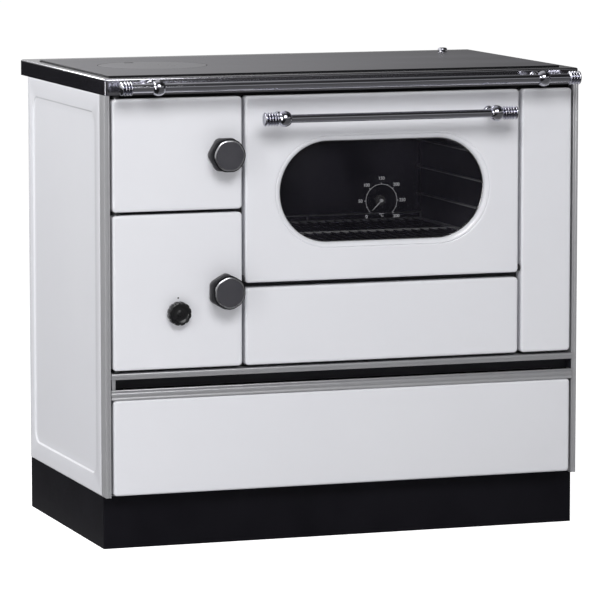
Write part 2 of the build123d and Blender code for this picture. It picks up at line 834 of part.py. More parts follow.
def door_knob(knob_z, turn):
    """Six-sided moulded knob: rear flange, round neck and a front cap with wider corners."""
    base = front - knob_gap
    face = front - knob_height
    hexagon = RegularPolygon(knob_hexagon_radius, 6)
    flange = extrude(fillet(hexagon.vertices(), knob_flange_corner), knob_flange)
    neck = Pos(0, 0, knob_flange) * extrude(Circle(knob_neck_radius), knob_groove)
    cap_start = knob_flange + knob_groove
    cap = extrude(fillet(hexagon.vertices(), knob_cap_corner), base - face - cap_start)
    cap = Pos(0, 0, cap_start) * cap
    cap = chamfer(cap.faces().sort_by(Axis.Z)[-1].edges(), 3)
    knob = flange + neck + cap
    knob -= Cylinder(spindle_radius, 2 * cap_start)
    return Pos(knob_x, base, knob_z) * Rot(90, 0, 0) * Rot(0, 0, turn) * knob


def door_latch(knob_z):
    """Spindle with a shoulder and a tongue that turns behind the stile."""
    base = front - knob_gap
    tongue_front = frame_back + latch_gap
    spindle = deep_rod(knob_x, base - knob_flange - knob_groove, tongue_front + latch_thickness, knob_z,
                       spindle_radius)
    shoulder = deep_rod(knob_x, door_back + seal_clearance, tongue_front, knob_z, 1.6 * spindle_radius)
    shape = SlotCenterToCenter(latch_length, latch_width, rotation=90)
    tongue = prism_y(Pos(knob_x, knob_z - latch_length / 2) * shape, tongue_front,
                     tongue_front + latch_thickness)
    return spindle + shoulder + tongue


def ash_door_panel():
    """Pressed front with a second spindle hole and air inlet slots in its lower edge."""
    panel = left_door_panel(doors_bottom, ash_door_top, ash_knob_z)
    panel -= deep_rod(air_knob_x, front - 1, front + panel_wall + 1, air_knob_z, air_spindle_radius + 1)
    inlet = Pos(air_knob_x, hinge_y, doors_bottom) * Box(inlet_length, inlet_width, 3 * panel_wall)
    for number in range(inlets):
        panel -= Pos((number - (inlets - 1) / 2) * inlet_pitch, 0, 0) * inlet
    return panel


def ring_of_air_holes(solid, y0, y1):
    for number in range(air_holes):
        angle = radians(360 / air_holes * (number + 0.5))
        solid -= deep_rod(air_knob_x + air_hole_circle * cos(angle), y0, y1,
                          air_knob_z + air_hole_circle * sin(angle), air_hole_radius)
    return solid


def ash_door_frame():
    """As the firebox door's casting, without ribs in the way of the air disc and with air holes."""
    casting = left_door_frame(doors_bottom, ash_door_top, ash_knob_z)
    plate_front = door_back - door_plate
    casting -= deep_rod(air_knob_x, front, plate_front, air_knob_z, air_disc_radius + 3)
    casting -= deep_rod(air_knob_x, plate_front, door_back + 1, air_knob_z,
                        air_spindle_radius + pivot_clearance)
    return ring_of_air_holes(casting, plate_front - 1, door_back + 1)


def air_knob():
    """Round black regulator knob with finger grips round its rim and a small centre boss."""
    base = front - knob_gap
    disc = Cylinder(air_knob_radius, air_knob_depth, align=(Align.CENTER, Align.CENTER, Align.MIN))
    disc = fillet(disc.edges().group_by(Axis.Z)[-1], 2.5)
    dish = Pos(0, 0, air_knob_depth - 1.5) * Cylinder(air_knob_radius * 0.7, 4)
    disc -= dish
    disc += Pos(0, 0, air_knob_depth / 2) * Cylinder(4, air_knob_depth)
    for number in range(air_knob_grips):
        turn = Rot(0, 0, 360 / air_knob_grips * number)
        disc -= turn * Pos(air_knob_radius + 1.8, 0, 0) * Cylinder(3, 3 * air_knob_depth)
    disc -= Cylinder(air_spindle_radius, air_knob_depth)
    return Pos(air_knob_x, base, air_knob_z) * Rot(90, 0, 0) * disc


def air_disc():
    """Turning shutter on its spindle; its holes meet those of the door casting when it is open."""
    plate_front = door_back - door_plate
    disc_back = plate_front - air_disc_gap
    disc = deep_rod(air_knob_x, disc_back - air_disc_thickness, disc_back, air_knob_z, air_disc_radius)
    disc = ring_of_air_holes(disc, disc_back - air_disc_thickness - 1, disc_back + 1)
    base = front - knob_gap
    return disc + deep_rod(air_knob_x, base - air_knob_depth / 2, door_back - 1, air_knob_z,
                           air_spindle_radius)


# --- Oven door --------------------------------------------------------------------------------------


def window_outline(grow):
    """Long oval of the window, enlarged all round by a margin."""
    return Pos(oven_middle, window_z) * SlotOverall(window_width + 2 * grow, window_height + 2 * grow)


def window_bead(grow, wall, radius):
    """The solid round the window behind a rounded edge; two of them, one in the other, make the roll."""
    bead = prism_y(window_outline(grow), front + wall, front + window_flange)
    bead -= prism_y(window_outline(wall), front, front + window_flange + 1)
    mouth = bead.faces().sort_by(Axis.Y)[0].inner_wires()[0].edges()
    return fillet(mouth, radius)


def oven_door_panel():
    """Pressed front whose sheet is rolled inwards round the window."""
    panel = pressed_panel(oven_left, oven_right, oven_door_bottom, doors_top, door_back - front)
    panel -= prism_y(window_outline(window_roll), front - 1, front + panel_wall + 1)
    roll = window_bead(window_roll + panel_wall, 0, window_roll)
    roll -= window_bead(window_roll + 2 * panel_wall, panel_wall, window_roll - panel_wall)
    return panel + roll - oven_pin_holes(hinge_pin_radius + 1)


def oven_pin_holes(radius):
    """The two hinge pins' places in the sides of the door."""
    reach = hinge_pin_reach + 1
    return group(cross_rod(oven_left - 1, oven_left + reach, hinge_y, oven_hinge_z, radius),
                 cross_rod(oven_right - reach, oven_right + 1, hinge_y, oven_hinge_z, radius))


def window_trim():
    """Thin bright ring inside the rolled edge, back to the glass."""
    ring = prism_y(window_outline(0), front + window_roll, glass_front)
    return ring - prism_y(window_outline(-window_collar), front, glass_front + 1)


def oven_glass():
    pane = prism_y(window_outline(glass_overlap), glass_front, glass_back)
    return pane - deep_rod(oven_middle, glass_front - 1, glass_back + 1, dial_z,
                           thermometer_shaft_radius + pivot_clearance)


def oven_door_inner():
    """Inner steel pan with its window, four bosses that hold the glass and two hinge blocks."""
    wall = panel_wall + inner_pan_wall
    pan = panel_filling(oven_left, oven_right, glass_front - 1, oven_door_bottom, doors_top)
    pan -= block(oven_left + wall, oven_right - wall, front, door_back - inner_pan_wall,
                 oven_door_bottom + wall, doors_top - wall)
    pan -= prism_y(window_outline(inner_window_margin), front, door_back + 1)
    straight = (window_width - window_height) / 2
    arc = (window_height + glass_overlap) / 2
    for side in (-1, 1):
        for angle in (-45, 45):
            pan += deep_rod(oven_middle + side * (straight + arc * cos(radians(angle))), glass_back,
                            door_back, window_z + arc * sin(radians(angle)), glass_overlap / 2)
    for inner, outer in ((oven_left, oven_left + hinge_block), (oven_right - hinge_block, oven_right)):
        pan += block(inner, outer, pan_face, door_back, oven_door_bottom, oven_door_bottom + hinge_block)
    pan &= panel_filling(oven_left, oven_right, front, oven_door_bottom, doors_top)
    return pan - oven_pin_holes(hinge_pin_radius + pivot_clearance)


def oven_hinges():
    """Two lugs on the front frame, one each side, with pins that point into the door."""
    reach = hinge_pin_radius + hinge_wall
    outline = Pos(hinge_y, oven_hinge_z) * Circle(reach)
    outline += Pos((hinge_y + frame_front) / 2, oven_hinge_z) * Rectangle(frame_front - hinge_y, 2 * reach)
    hinges = []
    for gap, pin_end in ((oven_left - column_gap / 2, oven_left + hinge_pin_reach),
                         (oven_right + column_gap / 2, oven_right - hinge_pin_reach)):
        lug = bar_x(outline, gap - hinge_lug / 2, gap + hinge_lug / 2)
        hinges.append(lug + cross_rod(*sorted((gap, pin_end)), hinge_y, oven_hinge_z, hinge_pin_radius))
    return group(*hinges)


def oven_handle():
    bar_end = handle_half_length - finial_length(handle_finial_rings)
    bar = cross_rod(oven_middle - bar_end, oven_middle + bar_end, handle_y, handle_z, handle_radius)
    ends = [ribbed_end(oven_middle + side * bar_end, handle_y, handle_z, handle_radius,
                       handle_finial_rings, side) for side in (-1, 1)]
    return group(bar, *ends)


def handle_brackets():
    return group(*(ball_bracket(oven_middle + side * handle_ball_half_span, handle_y, handle_z, front,
                                handle_ball_radius, handle_radius) for side in (-1, 1)))


def thermometer_coil():
    """Bimetal drum clamped to the back of the glass, with a blind bore for the needle's shaft."""
    drum = deep_rod(oven_middle, glass_back, door_back, dial_z, thermometer_coil_radius)
    drum = chamfer(drum.edges().group_by(Axis.Y)[-1], 1)
    return drum - deep_rod(oven_middle, glass_front, door_back - inner_pan_wall, dial_z,
                           thermometer_shaft_radius + pivot_clearance)


def thermometer_needle():
    """Shaft through the glass with a tapered pointer in front of it; at rest it points to zero."""
    face = glass_front - needle_gap
    shaft = deep_rod(oven_middle, face, door_back - inner_pan_wall - needle_gap, dial_z,
                     thermometer_shaft_radius)
    pointer = make_face(Polyline((-3, 1.4), (-3, -1.4), (needle_length, -0.4), (needle_length, 0.4),
                                 close=True))
    pointer = prism_y(Pos(oven_middle, dial_z) * Rot(0, 0, 225) * pointer, face - needle_thickness, face)
    hub = deep_rod(oven_middle, face - 2, face, dial_z, thermometer_shaft_radius)
    return shaft + pointer + hub


# --- Panel below the oven and fuel drawer -------------------------------------------------------------


def cover_panel():
    return pressed_panel(oven_left, oven_right, doors_bottom, cover_top,
                         frame_front - cover_clip_gap - front)


def drawer_front():
    return pressed_panel(door_left, -door_left, drawer_bottom, grip_bottom, drawer_panel_depth)


def drawer_grip():
    """Aluminium grip along the drawer's top edge: a grooved face with a finger channel behind it."""
    back = drawer_panel_back
    lip = front + grip_lip
    channel = grip_bottom + grip_lip - 0.5
    outline = Polyline((front, grip_bottom), (back, grip_bottom), (back, recess_bottom - 2),
                       (back - sheet, recess_bottom - 2), (back - sheet, channel), (lip, channel),
                       (lip, recess_bottom - 2), (lip - 1.5, recess_bottom),
                       (front + 1.5, recess_bottom), (front, recess_bottom - 1.5), close=True)
    section = make_face(outline)
    for share in (0.35, 0.65):
        section -= Pos(front, grip_bottom + grip_height * share) * Circle(1)
    half = post_inner - drawer_side_clearance
    return bar_x(section, -half, half)


def drawer_box():
    """Folded steel tub with a wide front wall that closes the back of the drawer's front."""
    back = drawer_panel_back + drawer_box_depth
    half = drawer_box_half
    tub = block(-half, half, drawer_panel_back - sheet, back, drawer_box_bottom, drawer_box_top)
    wide = block(door_left + panel_wall, -door_left - panel_wall, drawer_panel_back - sheet,
                 drawer_panel_back, drawer_bottom + panel_wall, grip_bottom - panel_wall)
    tub += fillet(wide.edges().filter_by(Axis.Y), panel_edge_radius - panel_wall)
    return tub - block(-half + sheet, half - sheet, drawer_panel_back, back - sheet,
                       drawer_box_bottom + sheet, drawer_box_top + 1)


def drawer_runners():
    """Flat steel runners welded along both sides of the drawer box."""
    runner = block(drawer_box_half, drawer_box_half + runner_width, drawer_panel_back + 2 * runner_width,
                   drawer_panel_back + drawer_box_depth, rail_bottom + sheet + rail_clearance,
                   rail_bottom + rail_height - sheet - rail_clearance)
    return group(runner, mirrored(runner))


def drawer_rails():
    """Channels that hold the runners, from the front frame to the back panel."""
    rail = block(drawer_box_half + rail_clearance, stile_inner + sheet, frame_back, back_inner, rail_bottom,
                 rail_bottom + rail_height)
    rail -= block(drawer_box_half, stile_inner, frame_back - 1, back_inner + 1, rail_bottom + sheet,
                  rail_bottom + rail_height - sheet)
    return group(rail, mirrored(rail))


# --- Assembly ---------------------------------------------------------------------------------------

os.makedirs("parts", exist_ok=True)

save(plinth(), "plinth")
save(base_panel(), "base_panel")
save(post(), "post_left")
save(mirrored(post()), "post_right")
save(side_panel(), "side_panel_left")
save(mirrored(side_panel()), "side_panel_right")
save(back_panel(), "back_panel")
save(front_frame(), "front_frame")
save(hob_frame(), "hob_frame")
save(hob_plate(), "hob_plate")
save(hob_lid(), "hob_lid")
save(hob_rail(), "hob_rail")
save(rail_brackets(), "rail_brackets")
save(right_panel(), "right_panel")
save(trim_strip(), "trim_strip")
save(recess_strip(), "recess_strip")

save(firebox_casing(), "firebox_casing")
save(firebox_bricks(), "firebox_bricks")
save(fire_grate(), "fire_grate")
save(ash_pan(), "ash_pan")

save(oven_box(), "oven_box")
save(oven_guides(), "oven_guides")
save(oven_rack(), "oven_rack")
save(smoke_casing(), "smoke_casing")
save(smoke_baffle(), "smoke_baffle")
save(soot_door(), "soot_door")
save(flue_collar(), "flue_collar")
save(damper_rod(), "damper_rod")
save(damper_knob(), "damper_knob")

save(hinge_lugs(), "hinge_lugs")
save(hinge_pins(), "hinge_pins")
save(left_door_panel(firebox_door_bottom, doors_top, firebox_knob_z), "firebox_door_panel")
save(left_door_frame(firebox_door_bottom, doors_top, firebox_knob_z), "firebox_door_frame")
save(seal_ring(mouth_left, mouth_right, firebox_mouth_bottom, firebox_mouth_top, seal_margin),
     "firebox_door_seal")
save(door_knob(firebox_knob_z, 0), "firebox_knob")
save(door_latch(firebox_knob_z), "firebox_latch")
save(ash_door_panel(), "ash_door_panel")
save(ash_door_frame(), "ash_door_frame")
save(seal_ring(mouth_left, mouth_right, ash_floor, ash_mouth_top, seal_margin), "ash_door_seal")
save(door_knob(ash_knob_z, 30), "ash_knob")
save(door_latch(ash_knob_z), "ash_latch")
save(air_knob(), "air_knob")
save(air_disc(), "air_disc")

save(oven_hinges(), "oven_hinges")
save(oven_door_panel(), "oven_door_panel")
save(oven_door_inner(), "oven_door_inner")
save(oven_glass(), "oven_glass")
save(window_trim(), "window_trim")
save(oven_handle(), "oven_handle")
save(handle_brackets(), "handle_brackets")
save(seal_ring(oven_inner_left, oven_inner_right, oven_inner_bottom, oven_inner_top, seal_margin),
     "oven_door_seal")
save(thermometer_coil(), "thermometer_coil")
save(thermometer_needle(), "thermometer_needle")

save(cover_panel(), "cover_panel")
save(drawer_front(), "drawer_front")
save(drawer_grip(), "drawer_grip")
save(drawer_box(), "drawer_box")
save(drawer_runners(), "drawer_runners")
save(drawer_rails(), "drawer_rails")
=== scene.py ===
from math import atan2, cos, pi, radians, sin

import bmesh
import bpy
import numpy as np
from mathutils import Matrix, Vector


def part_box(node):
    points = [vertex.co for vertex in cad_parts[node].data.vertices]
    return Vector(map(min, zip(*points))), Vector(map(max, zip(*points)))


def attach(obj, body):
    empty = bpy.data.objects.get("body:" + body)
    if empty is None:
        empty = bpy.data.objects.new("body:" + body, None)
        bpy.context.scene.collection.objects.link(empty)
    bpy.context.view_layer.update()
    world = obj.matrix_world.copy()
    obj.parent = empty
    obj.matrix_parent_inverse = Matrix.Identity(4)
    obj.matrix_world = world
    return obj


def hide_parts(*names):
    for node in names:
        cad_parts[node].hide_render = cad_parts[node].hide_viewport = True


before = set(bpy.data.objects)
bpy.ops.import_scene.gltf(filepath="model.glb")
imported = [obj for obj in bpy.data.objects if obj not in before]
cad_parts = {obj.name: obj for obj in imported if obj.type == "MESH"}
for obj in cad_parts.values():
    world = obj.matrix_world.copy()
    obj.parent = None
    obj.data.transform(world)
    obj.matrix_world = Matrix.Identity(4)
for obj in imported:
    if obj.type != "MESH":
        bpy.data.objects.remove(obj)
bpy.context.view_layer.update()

scene = bpy.context.scene
scene.view_settings.view_transform = "Standard"


# --- Studio ---
# The stove stands on a pale floor in a white surround, with large soft lamps high in front and at
# the left, a tall strip at the left and a low one behind for bright lines along the edges. The room
# in front of it is dim but for one pale band, as bright metal shows.

camera_pitch = radians(7.0228)
camera_yaw = radians(18.9918)
lens = bpy.data.cameras.new("photo_lens")
lens.sensor_width = 36
lens.lens = 258.27
lens.clip_end = 200
camera = bpy.data.objects.new("photo_camera", lens)
camera.location = (-2.57783, -7.49325, 1.37847)
camera.rotation_euler = (pi / 2 - camera_pitch, 0, -camera_yaw)
scene.collection.objects.link(camera)
scene.camera = camera


def lamp(name, place, aim, width, height, power):
    """A rectangular soft lamp that faces the point it is aimed at."""
    light = bpy.data.lights.new(name, "AREA")
    light.shape = "RECTANGLE"
    light.size = width
    light.size_y = height
    light.energy = power
    stand = bpy.data.objects.new(name, light)
    stand.location = place
    away = np.subtract(place, aim)
    stand.rotation_euler = (atan2(np.hypot(away[0], away[1]), away[2]), 0, atan2(away[0], -away[1]))
    scene.collection.objects.link(stand)


lamp("soft_high", (-0.5, -2.7, 2.7), (0, 0, 0.6), 2.0, 1.2, 70)
lamp("soft_side", (-1.75, 0.3, 1.9), (-0.45, 0, 0.75), 1.3, 1.3, 28)
lamp("strip_left", (-2.8, -1.7, 1.15), (0, 0, 0.6), 0.3, 2.2, 16)
lamp("strip_behind", (-0.95, 1.7, 1.5), (-0.45, 0, 0.83), 1.2, 0.3, 8)


def plug(tree, socket, value):
    """Feed a socket from an output, or give it a plain value."""
    if isinstance(value, bpy.types.NodeSocket):
        tree.links.new(value, socket)
    else:
        socket.default_value = value


def node(tree, kind, inputs=None, **settings):
    """A node of this kind with its settings and with its inputs plugged by name or number."""
    made = tree.nodes.new("ShaderNode" + kind)
    for name, value in settings.items():
        setattr(made, name, value)
    for name, value in (inputs or {}).items():
        plug(tree, made.inputs[name], value)
    return made


def reckon(tree, operation, *values):
    """One step of arithmetic on outputs and plain values."""
    return node(tree, "Math", dict(enumerate(values)), operation=operation).outputs[0]


def remap(tree, value, span, levels=(0.0, 1.0), smooth=False, name=""):
    """The value carried from one span to another and held beyond its ends; smooth eases both ends."""
    inputs = {"Value": value, "From Min": span[0], "From Max": span[1], "To Min": levels[0],
              "To Max": levels[1]}
    made = node(tree, "MapRange", inputs, interpolation_type="SMOOTHSTEP" if smooth else "LINEAR")
    made.name = name or made.name
    return made.outputs["Result"]


def tones(tree, value, *stops, name=""):
    """A colour for every value, blended between the (place, colour) stops."""
    made = node(tree, "ValToRGB", {0: value})
    made.name = name or made.name
    marks = made.color_ramp.elements
    marks[0].position, marks[1].position = stops[0][0], stops[-1][0]
    marks[0].color, marks[1].color = (*stops[0][1], 1), (*stops[-1][1], 1)
    for place, colour in stops[1:-1]:
        marks.new(place).color = (*colour, 1)
    return made.outputs[0]


def emptied(owner):
    """The owner's node tree without its nodes, 1 for mirror rays, and 1 for the rays that see the
    room: camera and see-through rays."""
    owner.use_nodes = True
    owner.node_tree.nodes.clear()
    path = node(owner.node_tree, "LightPath")
    seen = reckon(owner.node_tree, "MAXIMUM", path.outputs["Is Camera Ray"],
                  path.outputs["Is Transmission Ray"])
    return owner.node_tree, path.outputs["Is Glossy Ray"], seen


world = bpy.data.worlds.new("white_surround")
scene.world = world
tree, mirrored, seen = emptied(world)
direction = node(tree, "SeparateXYZ", {0: node(tree, "TexCoord").outputs["Generated"]}).outputs
behind = remap(tree, direction["Y"], (-0.25, 0.6), (0.12, 0.80), True)
fading = remap(tree, direction["X"], (0.2, 0.43), (1.0, 0.12), True)
in_front = remap(tree, direction["Y"], (-0.15, -0.45), smooth=True)
dark, pale = (0, 0, 0), (0.45, 0.45, 0.45)
band = tones(tree, direction["Z"], (0.10, dark), (0.20, pale), (0.36, pale), (0.46, dark))
backdrop = reckon(tree, "MULTIPLY_ADD", behind, fading, reckon(tree, "MULTIPLY", band, in_front))
level = reckon(tree, "ADD", reckon(tree, "MULTIPLY", mirrored, backdrop),
               remap(tree, mirrored, (0.0, 1.0), (0.26, 0.0)))
surround = node(tree, "Background", {"Strength": reckon(tree, "MAXIMUM", level, seen)})
node(tree, "OutputWorld", {"Surface": surround.outputs[0]})

floor_mesh = bpy.data.meshes.new("studio_floor")
floor_mesh.from_pydata([(-60, -60, 0), (60, -60, 0), (60, 60, 0), (-60, 60, 0)], [], [(0, 1, 2, 3)])
floor = bpy.data.objects.new("studio_floor", floor_mesh)
scene.collection.objects.link(floor)
floor_paint = bpy.data.materials.new("floor_paint")
tree, mirrored, seen = emptied(floor_paint)
place = node(tree, "SeparateXYZ", {0: node(tree, "TexCoord").outputs["Object"]}).outputs
near = remap(tree, place["Y"], (-0.9, -0.35), (0.13, 0.24), True)
beside = remap(tree, place["X"], (-0.6, -0.4), (0.12, 1.0), True)
matt = node(tree, "BsdfDiffuse", {"Color": (0.8, 0.8, 0.805, 1)})
whitened = node(tree, "Emission", {"Strength": reckon(tree, "MULTIPLY", seen, 0.86)})
lit = node(tree, "AddShader", {0: matt.outputs[0], 1: whitened.outputs[0]})
in_mirrors = node(tree, "Emission", {"Strength": reckon(tree, "MULTIPLY", near, beside)})
either = node(tree, "MixShader", {0: mirrored, 1: lit.outputs[0], 2: in_mirrors.outputs[0]})
node(tree, "OutputMaterial", {"Surface": either.outputs[0]})
floor_mesh.materials.append(floor_paint)


# --- Plinth and base panel ---
# The plinth is a folded steel ring, painted satin black, with flanges turned in. The base panel is
# plain galvanised sheet that rests on it; both keep the solids' own shape.


def feed(material, socket, value):
    """Feed one input of the material's shader from an output, or give it a plain value."""
    plug(material.node_tree, material.node_tree.nodes["Principled BSDF"].inputs[socket], value)


def finish(name, dark, light, grain, rough, metal=0.0, relief=None, stretch=(1, 1, 1), shine=0.5,
           coat=0.0):
    """A surface whose tint wanders between two colours and its roughness between two values, along
    a cloud pattern with `grain` clouds a metre. Its relief is a height in metres and the number of
    clouds a metre."""
    material = bpy.data.materials.new(name)
    material.use_nodes = True
    tree = material.node_tree
    place = node(tree, "TexCoord").outputs["Object"]
    laid = node(tree, "Mapping", {"Vector": place, "Scale": stretch}).outputs[0]
    clouds = node(tree, "TexNoise", {"Vector": laid, "Scale": grain, "Detail": 5}).outputs[0]
    values = {"Metallic": metal, "Specular IOR Level": shine, "Coat Weight": coat,
              "Coat Roughness": 0.04,
              "Base Color": tones(tree, clouds, (0.33, dark), (0.67, light), name="tint"),
              "Roughness": remap(tree, clouds, (0.3, 0.7), rough, name="gloss")}
    if relief:
        height, pitch = relief
        pores = node(tree, "TexNoise", {"Vector": laid, "Scale": pitch, "Detail": 3})
        raised = node(tree, "Bump", {"Strength": 1, "Distance": height, "Height": pores.outputs[0]})
        values["Normal"] = raised.outputs[0]
    for socket, value in values.items():
        feed(material, socket, value)
    return material


def paint(material, *names):
    """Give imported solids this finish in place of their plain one."""
    for name in names:
        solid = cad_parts[name]
        if not solid.material_slots:
            solid.data.materials.append(material)
        for held in solid.material_slots:
            held.material = material


satin_black = finish("satin_black", (0.0052, 0.0048, 0.0075), (0.0075, 0.007, 0.0105), 9, (0.42, 0.55),
                     relief=(0.0001, 700), shine=0.12)
galvanised = finish("galvanised", (0.40, 0.41, 0.43), (0.50, 0.51, 0.53), 60, (0.34, 0.46), metal=0.9,
                    relief=(0.00003, 160))
tree = galvanised.node_tree
spangle = node(tree, "TexVoronoi", {"Vector": tree.nodes["Mapping"].outputs[0], "Scale": 90})
spangle_grey = node(tree, "SeparateColor", {0: spangle.outputs["Color"]}).outputs[0]
for follower in ("tint", "gloss"):
    plug(tree, tree.nodes[follower].inputs[0], spangle_grey)
paint(satin_black, "plinth")
paint(galvanised, "base_panel")


# --- Corner posts ---
# Extruded aluminium, satin anodised. Seen from the front each has a round bead at its outer corner,
# a shallow channel beside it and a narrow land next to the doors; the side face is plain.


def skin(rings, looped=False):
    """Points and faces of one closed skin. Point j of a ring joins point j of the next ring and its
    own neighbour; flat caps close the ends unless the stack of rings runs back into itself. The
    sign of the enclosed volume says which way round the faces go."""
    rings = np.asarray(rings, float)
    count, around = rings.shape[:2]
    points = rings.reshape(-1, 3)
    i = np.arange(count if looped else count - 1)[:, None]
    j = np.arange(around)[None, :]
    after = (i + 1) % count
    faces = np.stack([i * around + j, i * around + (j + 1) % around,
                      after * around + (j + 1) % around, after * around + j], -1).reshape(-1, 4)
    a, b, c, d = (points[faces[:, corner]] for corner in range(4))
    volume = np.sum(a * np.cross(b, c)) + np.sum(a * np.cross(c, d))
    faces = faces.tolist()
    if not looped:
        for cap in (rings[0][::-1], rings[-1]):
            volume += np.sum(cap[0] * np.cross(cap, np.roll(cap, -1, axis=0)))
        faces.append(list(range(around))[::-1])
        faces.append(list(range((count - 1) * around, count * around)))
    if volume < 0:
        faces = [face[::-1] for face in faces]
    return points, faces


def build(name, *skins, sharp=32):
    """One object from any number of skins, with doubled points merged and edges sharper than the
    given angle left sharp."""
    points, faces, start = [], [], 0
    for more_points, more_faces in skins:
        points.append(more_points)
        faces += [[corner + start for corner in face] for face in more_faces]
        start += len(more_points)
    mesh = bpy.data.meshes.new(name)
    mesh.from_pydata(np.concatenate(points).tolist(), [], faces)
    work = bmesh.new()
    work.from_mesh(mesh)
    bmesh.ops.remove_doubles(work, verts=work.verts, dist=1e-6)
    bmesh.ops.dissolve_degenerate(work, edges=work.edges, dist=1e-7)
    work.to_mesh(mesh)
    work.free()
    mesh.shade_smooth()
    mesh.set_sharp_from_angle(angle=radians(sharp))
    made = bpy.data.objects.new(name, mesh)
    scene.collection.objects.link(made)
    return made


def fit(made, material, body, slot, *nodes):
    """Finish a new piece, hang it on its body and let it stand for the named solids."""
    made.data.materials.append(material)
    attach(made, body)
    if nodes:
        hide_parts(*nodes)


def quarter_turn(count):
    """Angles from 0 to a right angle."""
    return np.linspace(0, pi / 2, count)


post_lap = 0.030


def post_rings(outer_x, side, y0, y1, z0, z1):
    """The post's plan, given as distance in from its outer side and depth from the front, carried
    up from its foot; the front's top edge is bevelled. The corner is a quarter of a 1.2 mm circle,
    and behind the lap the side steps in for the sheet."""
    turn = quarter_turn(6)
    corner = np.stack([0.0012 * (1 - np.cos(turn)), 0.0012 * (1 - np.sin(turn))], 1)
    rest = np.array([(0.0048, 0.0), (0.0053, 0.0004), (0.0056, 0.0013), (0.0073, 0.0013),
                     (0.0076, 0.0005), (0.0094, 0.0004), (0.0098, 0.0008), (0.0098, y1 - y0),
                     (0.0024, y1 - y0), (0.0024, post_lap), (0.0, post_lap)])
    plan = np.concatenate([corner, rest])
    x = outer_x - side * plan[:, 0]
    return [np.stack([x, y0 + np.maximum(plan[:, 1], bevel), np.full(len(x), z)], 1)
            for z, bevel in ((z0, 0), (z1 - 0.002, 0), (z1, 0.0018))]


anodised = finish("anodised", (0.36, 0.36, 0.375), (0.42, 0.42, 0.435), 5, (0.30, 0.38), metal=0.22,
                  relief=(0.000012, 900), stretch=(1, 1, 0.02))
for post, side in (("post_left", -1), ("post_right", 1)):
    lo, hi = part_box(post)
    outer = lo.x if side < 0 else hi.x
    extrusion = skin(post_rings(outer, side, lo.y, hi.y, lo.z, hi.z))
    fit(build(post + "_extrusion", extrusion, sharp=40), anodised, "stove", "aluminium", post)


# --- Side panels ---
# White enamelled sheet with a large field pressed inwards, its corners rounded and its edge a soft
# double bend. The sheets hang between the posts and the back panel.


def rounded(a0, a1, b0, b1, radius, steps=8):
    """A rectangle with quarter-circle corners, walked round from its high corner."""
    turn = quarter_turn(steps + 1)
    corners = [(a1 - radius, b1 - radius, 0), (a0 + radius, b1 - radius, pi / 2),
               (a0 + radius, b0 + radius, pi), (a1 - radius, b0 + radius, 1.5 * pi)]
    return np.concatenate([np.stack([a + radius * np.cos(turn + start),
                                     b + radius * np.sin(turn + start)], 1)
                           for a, b, start in corners])


def lift(outline, depth, facing):
    """Stand a flat outline at a depth along the axis it faces."""
    return np.insert(outline, "xyz".index(facing), depth, axis=1)


def embossed_sheet(outer_x, side, y0, y1, z0, z1):
    """The sheet from its inner middle round its edge to its outer middle. The field's edge falls by
    half a cosine over 4 mm."""
    thickness, rise, margin, bend = 0.002, 0.0025, 0.034, 0.0020
    fall = np.linspace(0, 1, 9)
    field = (y0 + margin - 0.003, y1 - margin + 0.003, z0 + margin, z1 - margin)

    def field_ring(share, depth):
        inset = bend * (2 * share - 1)
        ring = rounded(field[0] + inset, field[1] - inset, field[2] + inset, field[3] - inset,
                       0.025 - inset)
        return lift(ring, depth, "x")

    dip = rise * (1 - np.cos(pi * fall)) / 2
    inner_face = outer_x - side * thickness
    inner = [field_ring(share, inner_face - side * drop) for share, drop in zip(fall[::-1], dip[::-1])]
    rolled = ((0.0004, thickness), (0, 0.0015), (0, 0.0006), (0.0002, 0.0002), (0.0008, 0), (0.004, 0))
    edge = [lift(rounded(y0 + inset, y1 - inset, z0 + inset, z1 - inset, 0.0025),
                 outer_x - side * sunk, "x") for inset, sunk in rolled]
    outside = [field_ring(share, outer_x - side * drop) for share, drop in zip(fall, dip)]
    middle_in = [field_ring(4, inner_face - side * rise)]
    middle_out = [field_ring(4, outer_x - side * rise)]
    return middle_in + inner + edge + outside + middle_out


white_enamel = finish("white_enamel", (0.780, 0.784, 0.826), (0.800, 0.804, 0.842), 2.2, (0.10, 0.17),
                      relief=(0.00008, 14), coat=0.3)
front_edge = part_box("post_left")[0].y + post_lap + 0.0003
for panel, side in (("side_panel_left", -1), ("side_panel_right", 1)):
    lo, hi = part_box(panel)
    outer = lo.x if side < 0 else hi.x
    sheet = build(panel + "_sheet", skin(embossed_sheet(outer, side, front_edge, hi.y, lo.z, hi.z)))
    fit(sheet, white_enamel, "stove", "white_enamel", panel)


# --- Back panel ---
# Black painted sheet with two pressed ribs, held by a row of cross-head screws along each upright
# edge and along the top.


def full_turn(count):
    """Angles all round, without the first one again."""
    return np.linspace(0, 2 * pi, count, endpoint=False)


def cross_head(x, y, z, radius=0.0042, height=0.0021):
    """A round screw head that faces backwards. Its height is a flattened dome; inside the cross,
    whose reach is largest every quarter turn, it is cut down to a third."""
    share = np.array([1.0, 1.0, 0.93, 0.8, 0.62, 0.45, 0.3, 0.16, 0.0])
    turn = full_turn(32)
    r, angle = np.meshgrid(share, turn, indexing="ij")
    dome = height * np.sqrt(np.clip(1.05 - r ** 2, 0, 1))
    dome[0] = 0
    reach = 0.18 + 0.42 * np.abs(np.cos(2 * angle)) ** 6
    cut = np.clip((reach - r) / 0.12, 0, 1)
    return skin(np.stack([x + radius * r * np.cos(angle), y + dome * (1 - 0.66 * cut),
                          z + radius * r * np.sin(angle)], -1))


